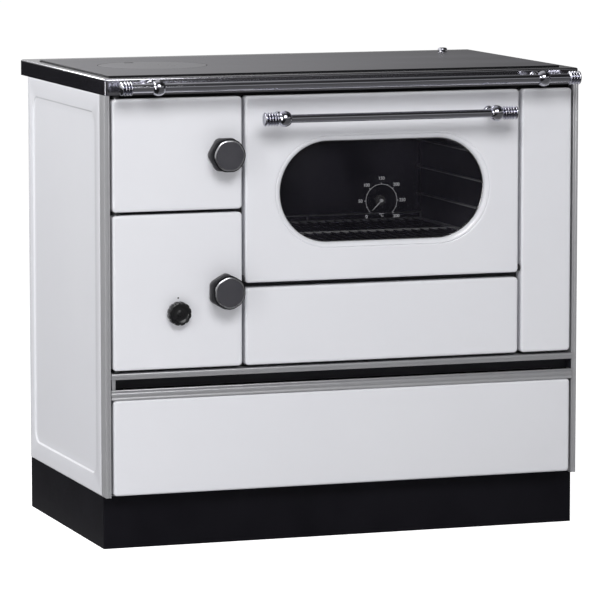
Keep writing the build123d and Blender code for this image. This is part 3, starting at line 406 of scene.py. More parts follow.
heat_paint = finish("heat_paint", (0.020, 0.020, 0.022), (0.034, 0.034, 0.037), 12, (0.5, 0.66),
                    relief=(0.00006, 900), shine=0.35)
screw_zinc = finish("screw_zinc", (0.34, 0.34, 0.34), (0.48, 0.48, 0.49), 300, (0.25, 0.36), metal=1.0,
                    relief=(0.00002, 2500))
lo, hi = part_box("back_panel")
panel_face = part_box("side_panel_left")[1].y
column_x, end_margin, top_margin = 0.438, 0.03, 0.018
screws = [(side * column_x, panel_face, z) for side in (-1, 1)
          for z in np.linspace(lo.z + end_margin, hi.z - end_margin, 7)]
screws += [(x, panel_face, hi.z - top_margin) for x in np.linspace(-0.33, 0.21, 4)]
paint(heat_paint, "back_panel")
fit(build("back_panel_screws", *[cross_head(*place) for place in screws]), screw_zinc, "stove",
    "zinc_steel")


# --- Inner front frame ---
# Flat steel bars welded into one frame behind the doors, painted with heat-proof black. The lugs
# that carry the doors are part of it.

paint(heat_paint, "front_frame", "hinge_lugs", "oven_hinges")
pin_steel = finish("pin_steel", (0.42, 0.42, 0.43), (0.55, 0.55, 0.56), 120, (0.2, 0.32), metal=1.0,
                   relief=(0.00001, 1800))
paint(pin_steel, "hinge_pins")


# --- Firebox ---
# A steel casing lined with fireclay slabs, a cast grate on two ledges and a folded ash pan on the
# floor. Heat has browned the bricks and greyed the iron.


def blended(material, mask, socket, off, on, how="MIX"):
    """Between two values of one socket by the mask; a value of None keeps what is linked there. A
    colour can also be multiplied with the other or added to it."""
    tree = material.node_tree
    target = tree.nodes["Principled BSDF"].inputs[socket]
    before = target.links[0].from_socket if target.links else None
    kind, inputs, output = ("RGBA", (6, 7), 2) if socket == "Base Color" else ("FLOAT", (2, 3), 0)
    mix = node(tree, "Mix", {0: mask}, data_type=kind, blend_type=how)
    for number, value in zip(inputs, (off, on)):
        plug(tree, mix.inputs[number], before if value is None else value)
    plug(tree, target, mix.outputs[output])


cast_iron = finish("cast_iron", (0.028, 0.027, 0.027), (0.062, 0.060, 0.058), 24, (0.55, 0.78),
                   metal=0.55, relief=(0.0005, 420))
fired_clay = finish("fired_clay", (0.33, 0.25, 0.17), (0.52, 0.41, 0.29), 11, (0.85, 0.98),
                    relief=(0.0009, 260), shine=0.2)
tree = fired_clay.node_tree
laid = tree.nodes["Mapping"].outputs[0]
soot = node(tree, "TexNoise", {"Vector": laid, "Scale": 4.5, "Detail": 6}).outputs[0]
courses = node(tree, "TexWave", {"Vector": laid, "Scale": 4.3}, wave_type="BANDS",
               bands_direction="Z").outputs[0]
for shade in (tones(tree, soot, (0.42, (0.45, 0.43, 0.42)), (0.6, (1, 1, 1))),
              tones(tree, courses, (0.0, (0.3, 0.28, 0.26)), (0.035, (1, 1, 1)))):
    blended(fired_clay, 1, "Base Color", None, shade, "MULTIPLY")
paint(heat_paint, "firebox_casing")
paint(fired_clay, "firebox_bricks")
paint(cast_iron, "fire_grate")
paint(galvanised, "ash_pan")


# --- Oven ---
# A steel box enamelled dark with fine pale specks, dark pressed guides on both walls with a painted
# highlight along each rib, and a welded wire shelf with a raised rear stop: browned cross wires and a
# plated frame that is darker towards the door.


def along(material, axis):
    """The piece's own coordinate along an axis, for the shader."""
    tree = material.node_tree
    place = tree.nodes["Texture Coordinate"].outputs["Object"]
    return node(tree, "SeparateXYZ", {0: place}).outputs[axis]


oven_enamel = finish("oven_enamel", (0.034, 0.032, 0.040), (0.046, 0.043, 0.053), 6, (0.12, 0.2),
                     relief=(0.00005, 60), shine=0.5)
tree = oven_enamel.node_tree
specks = node(tree, "TexVoronoi", {"Vector": tree.nodes["Mapping"].outputs[0], "Scale": 260})
pale_specks = tones(tree, specks.outputs["Distance"], (0.10, (0.22, 0.22, 0.23)), (0.16, (0, 0, 0)))
blended(oven_enamel, 1, "Base Color", None, pale_specks, "ADD")
paint(oven_enamel, "oven_box", "oven_door_inner")

lo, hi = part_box("oven_rack")
guide_pitch = 0.0515
plating_and_rib_highlight = ((0.78, 0.78, 0.80), (0.88, 0.88, 0.90), 40, (0.3, 0.42), 0.1, (0.00001, 1200))
pressed_guide = finish("pressed_guide", *plating_and_rib_highlight)
tree = pressed_guide.node_tree
# The guides are dark except for a band at each rib, which keeps the pale plating colour as a painted
# highlight.
above_first = reckon(tree, "SUBTRACT", along(pressed_guide, "Z"), lo.z - 0.0015)
from_rib = reckon(tree, "PINGPONG", above_first, guide_pitch / 2)
rib_highlight = remap(tree, from_rib, (0.0012, 0.0018), (1.0, 0.0))
blended(pressed_guide, rib_highlight, "Base Color", (0.055, 0.052, 0.062, 1), None)
paint(pressed_guide, "oven_guides")


def wires(starts, ends, radius, sides=12):
    """Round wires with softly domed ends, each a stack of circles along its own line: the radius
    follows a quarter circle over the first and last half radius."""
    skins = []
    turn = full_turn(sides)
    share = np.array([0.0, 0.6, 0.9, 1.0])
    inwards = radius * 0.5 * (1 - np.sqrt(1 - (share * 0.999) ** 2))
    for start, end in zip(np.asarray(starts, float), np.asarray(ends, float)):
        onwards = (end - start) / np.linalg.norm(end - start)
        across = np.cross(onwards, (0.0, 0.0, 1.0) if abs(onwards[2]) < 0.9 else (1.0, 0.0, 0.0))
        across /= np.linalg.norm(across)
        circle = np.cos(turn)[:, None] * across + np.sin(turn)[:, None] * np.cross(onwards, across)
        rings = [start + onwards * step + circle * radius * size for step, size in zip(inwards, share)]
        rings += [end - onwards * step + circle * radius * size
                  for step, size in zip(inwards[::-1], share[::-1])]
        skins.append(skin(rings))
    return skins


def loop_of_wire(path, level, radius, sides=12):
    """A wire bent into a closed flat loop: circles stood square to the path at each of its points."""
    step = np.roll(path, -1, axis=0) - np.roll(path, 1, axis=0)
    step /= np.linalg.norm(step, axis=1)[:, None]
    outwards = np.stack([step[:, 1], -step[:, 0]], 1)
    turn = full_turn(sides)
    flat = path[:, None, :] + outwards[:, None, :] * (radius * np.cos(turn))[None, :, None]
    height = np.broadcast_to(level + radius * np.sin(turn), flat.shape[:2])
    return skin(np.concatenate([flat, height[..., None]], -1), looped=True)


border, bar, cross, stop_rise = 0.003, 0.0025, 0.0015, 0.012
left, right = lo.x + border, hi.x - border
near_y, far_y = lo.y + border, hi.y - border
level, half_way = lo.z + border, (near_y + far_y) / 2
plated_wire = finish("plated_wire", *plating_and_rib_highlight)
# The shelf's frame is darker towards the door and keeps the plating colour towards the back.
paler_to_back = remap(plated_wire.node_tree, along(plated_wire, "Y"), (near_y + 0.05, far_y - 0.04))
blended(plated_wire, paler_to_back, "Base Color", (0.05, 0.048, 0.05, 1), None)
browned_wire = finish("browned_wire", (0.030, 0.029, 0.030), (0.055, 0.053, 0.054), 30, (0.4, 0.55),
                      metal=0.4, relief=(0.00002, 1500), shine=0.3)
cross_x = np.linspace(left, right, 27)[1:-1]
cross_wires = wires([(x, near_y + cross, level) for x in cross_x],
                    [(x, far_y - cross, level) for x in cross_x], cross, 8)
fit(build("oven_shelf_wires", *cross_wires), browned_wire, "stove", "wire_chrome")
shelf = [loop_of_wire(rounded(left, right, near_y, far_y, 0.014, 6), level, border)]
shelf += wires([(left, half_way, level)], [(right, half_way, level)], bar)
stop_z = level + stop_rise
shelf += wires([(left - cross, far_y, stop_z)], [(right + cross, far_y, stop_z)], cross)
shelf += wires([(x, far_y, level) for x in (left, (left + right) / 2, right)],
               [(x, far_y, stop_z) for x in (left, (left + right) / 2, right)], cross, 8)
fit(build("oven_wire_shelf", *shelf), plated_wire, "stove", "wire_chrome", "oven_rack")


# --- Smoke ways and flue collar ---
# Plain sheets that lead the smoke round the oven, the cleaning cover below it, and the cast collar
# at the rear with four hexagonal bolts through its flange.


def middle(name):
    """The middle of a solid's box."""
    return [(low + high) / 2 for low, high in zip(*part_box(name))]


def about_y(x, z, turn, levels):
    """Outlines about a line along Y; each level is a depth and a reach that may change round it."""
    return [np.stack([x + reach * np.cos(turn), np.full(len(turn), depth), z + reach * np.sin(turn)], 1)
            for depth, reach in levels]


def hexagon_bolt(x, y, z, radius=0.0045, height=0.0036):
    """A six-sided head with a chamfered crown on a thin round washer, facing backwards."""
    turn = full_turn(24)
    flat = radius * np.cos(pi / 6) / np.cos((turn + pi / 6) % (pi / 3) - pi / 6)
    washer = [(y, radius * 1.35), (y + 0.0007, radius * 1.35), (y + 0.0008, radius * 0.9)]
    head = [(y + 0.0005, flat), (y + height * 0.82, flat), (y + height, flat * 0.9),
            (y + height, radius * 0.5)]
    return [skin(about_y(x, z, turn, levels)) for levels in (washer, head)]


paint(heat_paint, "smoke_casing", "smoke_baffle", "soot_door")
paint(cast_iron, "flue_collar")
lo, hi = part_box("flue_collar")
flue_x, _, flue_z = middle("flue_collar")
flange_thickness, bolt_inset = 0.005, 0.0065
bolt_ring = (hi.x - lo.x) / 2 - bolt_inset
bolts = []
for angle in (pi / 4, 3 * pi / 4, 5 * pi / 4, 7 * pi / 4):
    bolts += hexagon_bolt(flue_x + bolt_ring * cos(angle), panel_face + flange_thickness,
                          flue_z + bolt_ring * sin(angle))
fit(build("flue_collar_bolts", *bolts), screw_zinc, "stove", "zinc_steel")


# --- Hob ---
# A heavy cast frame, enamelled black, with its top border and front polished; a ledge in it
# carries the ground steel plate. Every face of the plate and the lid that does not face up is near
# black and dull: painted shade along their flanks and in the lid's joint. The round lid lifts out by its
# slot.


def bordered_frame(outer, opening, ledge, z0, z1, plate_z):
    """The frame's section carried round: up the outer wall, over a quarter circle to the top, down
    the opening with a smaller quarter circle, in along the ledge and back under the top."""
    edge, lip, wall, underside = 0.003, 0.0015, 0.004, z1 - 0.0125
    rings = [(outer, 0, 0.006, z0), (outer, 0, 0.006, z0 + 0.001)]
    for t in quarter_turn(8):
        inset = edge * (1 - cos(t))
        rings.append((outer, -inset, 0.006 - inset, z1 - edge * (1 - sin(t))))
    rings += [(outer, -edge - 0.003, 0.004, z1), (opening, 0.006, 0.008, z1)]
    for t in quarter_turn(8):
        outset = lip * (1 - sin(t))
        rings.append((opening, outset, 0.003 + outset, z1 - lip * (1 - cos(t))))
    rings += [(opening, 0, 0.003, plate_z), (ledge, 0, 0.003, plate_z), (ledge, 0, 0.003, underside),
              (outer, -wall, 0.003, underside), (outer, -wall, 0.003, z0)]
    return [lift(rounded(a0 - grown, a1 + grown, b0 - grown, b1 + grown, radius, 10), z, "z")
            for (a0, a1, b0, b1), grown, radius, z in rings]


def facing_mask(material, steepest, forwards=False):
    """1 where the upward part of the surface's normal is over `steepest` (or, if asked, where the
    surface faces forwards), 0 elsewhere, with a soft change over a few hundredths."""
    tree = material.node_tree
    normal = node(tree, "SeparateXYZ", {0: tree.nodes["Texture Coordinate"].outputs["Normal"]}).outputs
    upwards = remap(tree, normal["Z"], (steepest - 0.04, steepest + 0.02))
    if not forwards:
        return upwards
    return reckon(tree, "MAXIMUM", upwards, remap(tree, normal["Y"], (-0.55, -0.65)))


black_enamel = finish("black_enamel", (0.006, 0.0058, 0.008), (0.010, 0.0096, 0.0125), 3, (0.07, 0.13),
                      relief=(0.00006, 16), shine=0.3)
polished_faces = facing_mask(black_enamel, 0.5, True)
tree = black_enamel.node_tree
place = tree.nodes["Texture Coordinate"].outputs["Object"]
drawn_out = node(tree, "Mapping", {"Vector": place, "Scale": (0.4, 9, 14)}).outputs[0]
streaks = node(tree, "TexNoise", {"Vector": drawn_out, "Scale": 9, "Detail": 4}).outputs[0]
polished = tones(tree, streaks, (0.38, (0.455, 0.450, 0.490)), (0.62, (0.555, 0.550, 0.600)))
blended(black_enamel, polished_faces, "Base Color", None, polished)
blended(black_enamel, polished_faces, "Metallic", 0.0, 1.0)
blended(black_enamel, polished_faces, "Roughness", None, 0.13)

lo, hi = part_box("hob_frame")
plate_lo, plate_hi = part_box("hob_plate")
gap, ledge = 0.0005, 0.008
opening = (plate_lo.x - gap, plate_hi.x + gap, plate_lo.y - gap, plate_hi.y + gap)
inside = (opening[0] + ledge, opening[1] - ledge, opening[2] + ledge, opening[3] - ledge)
frame_rings = bordered_frame((lo.x, hi.x, lo.y, hi.y), opening, inside, lo.z, hi.z, plate_lo.z)
fit(build("hob_frame_casting", skin(frame_rings, looped=True)), black_enamel, "stove", "black_enamel",
    "hob_frame")

hob_steel = finish("hob_steel", (0.195, 0.190, 0.218), (0.275, 0.270, 0.302), 7, (0.26, 0.36),
                   metal=0.92, relief=(0.00002, 260), stretch=(0.12, 1, 1))
lid_steel = finish("lid_steel", (0.265, 0.262, 0.290), (0.355, 0.350, 0.382), 9, (0.26, 0.36), metal=0.9)
lid_x, lid_y, _ = middle("hob_lid")
tree = lid_steel.node_tree
laid = tree.nodes["Mapping"]
laid.inputs["Location"].default_value = (-lid_x, -lid_y, 0)
turning = node(tree, "TexWave", {"Vector": laid.outputs[0], "Scale": 120}, wave_type="RINGS",
               rings_direction="Z")
turned_marks = node(tree, "Bump", {"Distance": 0.00002, "Height": turning.outputs[0]})
feed(lid_steel, "Normal", turned_marks.outputs[0])
# Faces that do not face up get a near-black, dull colour: painted shade on the flanks and in the joint
# round the lid.
for steel, solid in ((hob_steel, "hob_plate"), (lid_steel, "hob_lid")):
    upper_faces = facing_mask(steel, 0.97)
    blended(steel, upper_faces, "Base Color", (0.02, 0.02, 0.022, 1), None)
    blended(steel, upper_faces, "Roughness", 0.6, None)
    paint(steel, solid)


# --- Start-up damper ---
# A galvanised plate on an upright rod, lifted by a small turned and chromed knob that sits in a
# shallow well of the hob plate.


def turned(profile, centre, axis, sides=48):
    """A lathe form: each (distance along the axis, radius) of the profile becomes a circle."""
    turn = full_turn(sides)
    circle = np.stack([np.cos(turn), np.sin(turn)], 1)
    return [lift(radius * circle, distance, axis) + np.asarray(centre, float)
            for distance, radius in profile]


chrome = finish("chrome", (0.53, 0.53, 0.585), (0.59, 0.59, 0.65), 8, (0.05, 0.10), metal=1.0,
                relief=(0.000004, 220))
lo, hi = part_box("damper_knob")
pull_x, pull_y, _ = middle("damper_knob")
tall, wide = 0.0095, (hi.x - lo.x) / 2
foot = [(0, 0), (0, 0.72), (0.06, 0.76), (0.16, 0.66), (0.36, 0.60), (0.46, 0.68), (0.52, 0.94),
        (0.56, 1)]
profile = [(tall * rise, wide * reach) for rise, reach in foot]
profile += [(tall * (0.64 + 0.36 * sin(t)), wide * np.clip(cos(t), 0, 1) ** 0.6)
            for t in quarter_turn(8)]
fit(build("damper_pull", skin(turned(profile, (pull_x, pull_y, lo.z), "z"))), chrome, "damper",
    "chrome", "damper_knob")
paint(galvanised, "damper_rod")


# --- Hob rail ---
# Chromed tube with beaded ends, carried by two balls on turned stems; each stem's round foot is
# screwed to the front of the hob frame.


def beaded_bar(x0, x1, y, z, radius, bead_radius, beads):
    """Tube and both end pieces as one lathe form. Each bead is half a sine over its pitch; the end
    cap is a half sine that closes with a quarter circle."""
    cap_length, bead_pitch, core = 0.0075, 0.0052, radius * 0.92
    share = np.linspace(0, 1, 9)[1:]
    swell = bead_radius - core
    half = [(0.0, 0.0)]
    half += [(cap_length * 0.5 * (1 - cos(t)), bead_radius * sin(t))
             for t in np.linspace(0.12, pi / 2, 9)]
    half += [(cap_length * (0.5 + 0.5 * s), core + swell * cos(s * pi / 2)) for s in share]
    for number in range(beads):
        start = cap_length + number * bead_pitch
        half += [(start + bead_pitch * s, core + swell * sin(pi * s) ** 0.8) for s in share]
    end = cap_length + beads * bead_pitch
    half += [(end + 0.0005, core), (end + 0.0006, radius), (end + 0.004, radius)]
    profile = [(x0 + inwards, r) for inwards, r in half]
    profile += [(x1 - inwards, r) for inwards, r in half[::-1]]
    return skin(turned(profile, (0, y, z), "x"))


def ball_and_stem(x, y, z, foot_y, ball_radius, bar_radius):
    """A bored ball with a thin collar at each side, and a stem that narrows to a waist and spreads
    into a stepped foot."""
    bore, side, collar = bar_radius + 0.0001, ball_radius * 0.7, bar_radius * 1.22
    edge = [(side, bore), (side, collar), (side * 0.9, bar_radius * 1.26)]
    ball = [(-distance, r) for distance, r in edge]
    ball += [(ball_radius * sin(t) * 0.98, ball_radius * cos(t)) for t in np.linspace(-0.775, 0.775, 19)]
    ball += edge[::-1]
    reach = foot_y - y
    stem = [(bore + 0.001, 0), (bore + 0.001, 0.40), (reach * 0.42, 0.34), (reach * 0.62, 0.33),
            (reach - 0.0075, 0.40), (reach - 0.0052, 0.50), (reach - 0.0045, 0.58),
            (reach - 0.0028, 0.62), (reach - 0.0024, 0.72), (reach - 0.0008, 0.75), (reach, 0.75),
            (reach, 0)]
    stem = [(distance, ball_radius * share) for distance, share in stem]
    return [skin(turned(ball, (x, y, z), "x"), looped=True), skin(turned(stem, (x, y, z), "y", 32))]


def carried_bar(bar, brackets, radius, beads, body):
    """Fit a beaded bar and the two balls that carry it in place of their solids."""
    lo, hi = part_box(bar)
    ball_lo, ball_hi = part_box(brackets)
    y, z = middle(bar)[1:]
    tube = beaded_bar(lo.x, hi.x, y, z, radius, (hi.z - lo.z) / 2, beads)
    fit(build(bar + "_tube", tube), chrome, body, "chrome", bar)
    ball = (ball_hi.z - ball_lo.z) / 2
    balls = []
    for x in (ball_lo.x + 0.7 * ball, ball_hi.x - 0.7 * ball):
        balls += ball_and_stem(x, y, z, ball_hi.y, ball, radius)
    fit(build(bar + "_balls", *balls), chrome, body, "chrome", brackets)


carried_bar("hob_rail", "rail_brackets", 0.008, 3, "stove")


# --- Firebox door and ash door ---
# Each is a white enamelled sheet pressed to a shallow pan, filled by a cast plate and sealed with
# rope. Pins in the gaps at the left carry them.


def quarter(radius, inset, depth):
    """A quarter circle of a section: (inset, depth) pairs from the radius in depth to the radius in
    inset."""
    return [(inset + radius * (1 - cos(t)), depth + radius * (1 - sin(t)))
            for t in quarter_turn(9)]


def pressed_front(lo, hi):
    """The pan from its inner middle round its rim to its outer middle, with a quarter circle of
    5 mm along every front edge."""
    edge, wall, corner, front = 0.005, 0.0015, 0.0065, lo.y
    profile = [(0.03, front + wall), (0.009, front + wall)]
    profile += quarter(edge - wall, wall, front + wall)[::-1]
    profile += [(wall, hi.y), (0.0, hi.y)] + quarter(edge, 0, front)
    profile += [(0.0065, front), (0.009, front), (0.03, front)]
    return skin([lift(rounded(lo.x + inset, hi.x - inset, lo.z + inset, hi.z - inset,
                              max(corner - 0.6 * inset, 0.002), 8), depth, "y")
                 for inset, depth in profile])


def woven_rope(lo, hi):
    """Rope laid round the door: a flattened round section whose surface rises and falls along two
    crossing spirals."""
    inset, station, pitch = 0.005, 0.003, 0.014
    track = rounded(lo.x + inset, hi.x - inset, lo.z + inset, hi.z - inset, 0.006, 12)
    closed = np.concatenate([track, track[:1]])
    length = np.concatenate([[0], np.cumsum(np.linalg.norm(np.diff(closed, axis=0), axis=1))])
    keep = np.concatenate([[True], np.diff(length) > 1e-9])
    stations = np.linspace(0, length[-1], int(length[-1] / station), endpoint=False)
    a, b = (np.interp(stations, length[keep], closed[keep, column]) for column in (0, 1))
    step = np.stack([np.roll(a, -1) - np.roll(a, 1), np.roll(b, -1) - np.roll(b, 1)], 1)
    step /= np.linalg.norm(step, axis=1)[:, None]
    turn = full_turn(14)
    twist = 2 * pi * np.round(length[-1] / pitch) * stations / length[-1]
    weave = 1 - 0.09 * (1 - np.cos(3 * turn[None, :] + twist[:, None])
                        * np.cos(3 * turn[None, :] - twist[:, None]))
    across = weave * np.cos(turn)[None, :] * inset
    deep = weave * np.sin(turn)[None, :] * (hi.y - lo.y) / 2
    return skin(np.stack([a[:, None] + across * step[:, 1:2], (lo.y + hi.y) / 2 + deep,
                          b[:, None] - across * step[:, 0:1]], -1), looped=True)


def fit_front(name, solid, body):
    """A pressed white front in place of its solid."""
    fit(build(name, pressed_front(*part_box(solid))), white_enamel, body, "white_enamel", solid)


def fit_rope(door):
    """A woven rope in place of the door's sealing ring."""
    rope = build(door + "_rope", woven_rope(*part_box(door + "_seal")), sharp=80)
    fit(rope, glass_rope, door, "rope", door + "_seal")


glass_rope = finish("glass_rope", (0.42, 0.40, 0.36), (0.62, 0.60, 0.55), 160, (0.85, 0.98),
                    relief=(0.0003, 1400), shine=0.1)
for door in ("firebox_door", "ash_door"):
    fit_front(door + "_front", door + "_panel", door)
    fit_rope(door)
    paint(cast_iron, door + "_frame")


# --- Door knobs and latches ---
# Moulded in black: a six-sided flange, a round neck and a cap that is almost round, with a satin
# plate and a bright bevel in its face. The cap's black is darker than the flange's and almost without
# shine: painted shade of the groove between flange and cap. Each knob turns a zinc-plated latch.


def soft_hexagon(reach, corner, off):
    """Distance from the middle to a hexagon with rounded corners, by the angle off the nearest
    corner: the flat side, or near the corner the circle that touches both sides."""
    side = reach * cos(pi / 6) / np.cos(pi / 6 - np.abs(off))
    centre = reach - corner / cos(pi / 6)
    round_end = centre * np.cos(off) + np.sqrt(np.maximum(corner ** 2 - (centre * np.sin(off)) ** 2, 0))
    meeting = atan2(corner * sin(pi / 6), centre + corner * cos(pi / 6))
    return np.where(np.abs(off) < meeting, round_end, side)


def knob_skins(x, z, base, face, first):
    """The flange with its neck, the cap in front of it, the bright bevelled ring, 2.2 mm wide and
    leaning back by 1.2 mm, and the satin plate. The flange's and the cap's front edges are quarter
    circles of 2.2 mm and 3 mm."""
    turn = full_turn(120)
    off = (turn - first + pi / 6) % (pi / 3) - pi / 6
    widest, neck_radius = 0.0340, 0.0215
    flange, cap = (soft_hexagon(widest, corner, off) for corner in (0.012, 0.024))
    neck = np.full(120, neck_radius)
    high = base - face
    lean = quarter_turn(7)[1:]
    foot = [(0.0, flange - 0.0015), (0.0008, flange - 0.0006), (0.0016, flange), (0.0058, flange)]
    foot += [(0.0058 + 0.0022 * sin(t), flange - 0.0022 * (1 - cos(t))) for t in lean]
    foot += [(0.0082, neck + 0.0022), (0.0086, neck + 0.0006), (0.0094, neck), (0.0142, neck)]
    head = [(0.0136, neck - 0.003), (0.0136, neck), (0.0146, neck + 0.0006), (0.0150, cap - 0.0040),
            (0.0156, cap - 0.0018), (0.0168, cap - 0.0005), (0.0182, cap), (high - 0.0042, cap - 0.0002)]
    head += [(high - 0.0042 + 0.003 * sin(t), cap - 0.0002 - 0.003 * (1 - cos(t))) for t in lean]
    head += [(high - 0.0012, cap - 0.0050)]
    bevel = [(0.0022, 0.0022), (0.0014, 0.0022), (0.0012, 0.0024), (0.0001, 0.0043), (0.00005, 0.0046),
             (0.0004, 0.0048), (0.0022, 0.0048)]
    plate = [(0.0020, cap - 0.0048), (0.0003, cap - 0.0048), (0.0, cap - 0.0051), (0.0, cap * 0.5)]
    rising = [skin(about_y(x, z, turn, [(base - rise, reach) for rise, reach in levels]))
              for levels in (foot, head)]
    ring = about_y(x, z, turn, [(face + depth, cap - inset) for depth, inset in bevel])
    inlay = about_y(x, z, turn, [(face + depth, reach) for depth, reach in plate])
    return *rising, skin(ring, looped=True), skin(inlay)


moulded_black = finish("moulded_black", (0.055, 0.054, 0.060), (0.075, 0.074, 0.080), 35, (0.34, 0.44),
                       relief=(0.00002, 1500), shine=0.4)
# The cap's colour is painted shade: the same black moulding, made darker and almost without shine.
cap_shade_black = finish("cap_shade_black", (0.006, 0.006, 0.008), (0.010, 0.010, 0.012), 35, (0.5, 0.6),
                   relief=(0.00002, 1500), shine=0.05)
bevel_bright = finish("bevel_bright", (0.42, 0.42, 0.44), (0.50, 0.50, 0.52), 60, (0.26, 0.34),
                      metal=0.9, relief=(0.00001, 1500))
satin_inlay = finish("satin_inlay", (0.042, 0.041, 0.050), (0.054, 0.053, 0.062), 30, (0.42, 0.52),
                     relief=(0.00002, 2200), shine=0.4, coat=1.0)
knob_parts = (("_flange", moulded_black, 50), ("_cap", cap_shade_black, 50), ("_bevel", bevel_bright, 32),
              ("_inlay", satin_inlay, 32))
for door, first in (("firebox", 0.0), ("ash", pi / 6)):
    knob, latch = door + "_knob", door + "_door_latch"
    lo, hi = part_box(knob)
    x, _, z = middle(knob)
    skins = knob_skins(x, z, hi.y, lo.y, first)
    for (part, material, sharp), part_skin in zip(knob_parts, skins):
        fit(build(knob + part, part_skin, sharp=sharp), material, latch, "knob_black", knob)
    paint(galvanised, door + "_latch")


# --- Air regulator ---
# A round black knob with finger grips, a shallow dish and a small boss in its face, over a turning
# disc inside the ash door. A printed dot above it marks the open place.


def gripped_knob(x, z, base, face, radius):
    """A knob with twelve shallow scallops, which fade out towards the face. Each level is a depth,
    an inset from the rim and a share of the scallops' depth; behind them come the boss's circles."""
    turn = full_turn(144)
    scallop = 0.0013 * np.clip(np.cos(12 * turn) - 0.2, 0, 1) / 0.8
    levels = [(base, 0.0022, 0.6), (base - 0.0006, 0.0008, 1.0), (base - 0.0016, 0.0, 1.0)]
    levels += [(face + down, inset, depth) for down, inset, depth in (
        (0.0036, 0.0, 1.0), (0.0022, 0.0005, 0.9), (0.0010, 0.0015, 0.7), (0.0003, 0.0030, 0.4),
        (0.0001, 0.0045, 0.1), (0.0002, 0.0055, 0.0), (0.0010, 0.0066, 0.0), (0.0022, 0.0078, 0.0),
        (0.0026, 0.0095, 0.0))]
    rings = [(depth, radius - inset - share * scallop) for depth, inset, share in levels]
    rings += [(face + down, np.full(144, reach)) for down, reach in (
        (0.0026, 0.0066), (0.0022, 0.0056), (0.0008, 0.0050), (0.0003, 0.0046), (0.0001, 0.0036),
        (0.0003, 0.0016))]
    return skin(about_y(x, z, turn, rings))


dark_moulding = finish("dark_moulding", (0.007, 0.007, 0.008), (0.012, 0.012, 0.013), 50, (0.24, 0.34),
                       relief=(0.00002, 1600), shine=0.5)
lo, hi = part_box("air_knob")
air_x, _, air_z = middle("air_knob")
air_radius = (hi.x - lo.x) / 2
fit(build("air_knob_moulding", gripped_knob(air_x, air_z, hi.y, lo.y, air_radius), sharp=50),
    dark_moulding, "air_regulator", "knob_black", "air_knob")
paint(galvanised, "air_disc")

dot_profile = [(0.0, 0.0), (0.0, 0.0016), (-0.00006, 0.00145), (-0.00008, 0.0)]
dot_gap = 0.0057
dot_place = (air_x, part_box("ash_door_panel")[0].y, air_z + air_radius + dot_gap)
fit(build("air_index_dot", skin(turned(dot_profile, dot_place, "y", 24))), dark_moulding, "ash_door",
    "knob_black")


# --- Oven door ---
# White enamelled sheet over a steel inner pan. The sheet is rolled inwards round a long oval window,
# so that the edge shows as a bright rounded ring in front of the recessed glass.

quarter_points = (12, 12, 20)


def four_quarters(a, b):
    """The other three quarters are the first one mirrored, walked so that the outline runs on. The
    middle points on the axes are shared, so each mirrored quarter gives up its own first point."""
    first = np.stack([a, b], 1)
    second = np.concatenate([[[0.0, b[-1]]], np.stack([-a, b], 1)[:0:-1]])
    half = np.concatenate([first, second])
    return np.concatenate([half, -half])


def soft_rectangle(half_w, half_h, radius):
    """A rounded rectangle about the middle, its points dense on the corners."""
    side, arc, top = half_h - radius, radius * pi / 2, half_w - radius
    way = np.concatenate([start + np.linspace(0, run, count, endpoint=False) for start, run, count in
                          zip((0, side, side + arc), (side, arc, top), quarter_points)])
    angle = np.clip((way - side) / radius, 0, pi / 2)
    a = half_w - radius + radius * np.cos(angle) - np.maximum(way - side - arc, 0)
    return four_quarters(a, np.minimum(way, side) + radius * np.sin(angle))


def stadium(half_w, half_h):
    """A long oval with round ends, its arcs spread over the points that the rectangle gives to its
    side and its corner."""
    angle = np.linspace(0, pi / 2, quarter_points[0] + quarter_points[1], endpoint=False)
    run = np.linspace(0, half_w - half_h, quarter_points[2], endpoint=False)
    a = np.concatenate([half_w - half_h + half_h * np.cos(angle), half_w - half_h - run])
    return four_quarters(a, np.concatenate([half_h * np.sin(angle), np.full(len(run), half_h)]))


window_roll = 0.0085
door_lo, door_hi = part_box("oven_door_panel")
trim_lo, trim_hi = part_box("window_trim")
oven_x, _, door_z = middle("oven_door_panel")
window_z = middle("window_trim")[2]
front = door_lo.y


def window(outset, depth):
    """The window's outline, grown by the outset, at a depth."""
    half_w, half_h = (trim_hi.x - trim_lo.x) / 2, (trim_hi.z - trim_lo.z) / 2
    return lift(stadium(half_w + outset, half_h + outset) + (oven_x, window_z), depth, "y")


def rim(inset, depth):
    """The door's outline, shrunk by the inset, at a depth."""
    half_w, half_h = (door_hi.x - door_lo.x) / 2, (door_hi.z - door_lo.z) / 2
    ring = soft_rectangle(half_w - inset, half_h - inset, max(0.0065 - 0.6 * inset, 0.002))
    return lift(ring + (oven_x, door_z), depth, "y")


def windowed_front():
    """The sheet's section carried round: up the rim, across the face to the window, over a fine
    crease, round the rolled edge, and back behind. Its outline changes from the door's to the
    window's on the face."""
    edge, wall, roll = 0.005, 0.0015, window_roll
    rings = [rim(0, door_hi.y)] + [rim(*place) for place in quarter(edge, 0, front)]
    rings += [rim(0.0065, front), rim(0.009, front)]
    rings += [window(roll + outset, front + depth) for outset, depth in (
        (0.006, 0), (0.0026, 0), (0.0018, 0.0004), (0.0011, 0.0012), (0.0004, 0.0003))]
    rings += [window(*place) for place in quarter(roll, 0, front)[::-1]]
    rings += [window(0, front + roll + 0.001), window(wall, front + roll + 0.001)]
    rings += [window(*place) for place in quarter(roll - wall, wall, front + wall)]
    rings += [window(roll + 0.004, front + wall), rim(0.009, front + wall)]
    rings += [rim(*place) for place in quarter(edge - wall, wall, front + wall)[::-1]]
    return skin(rings + [rim(wall, door_hi.y)], looped=True)


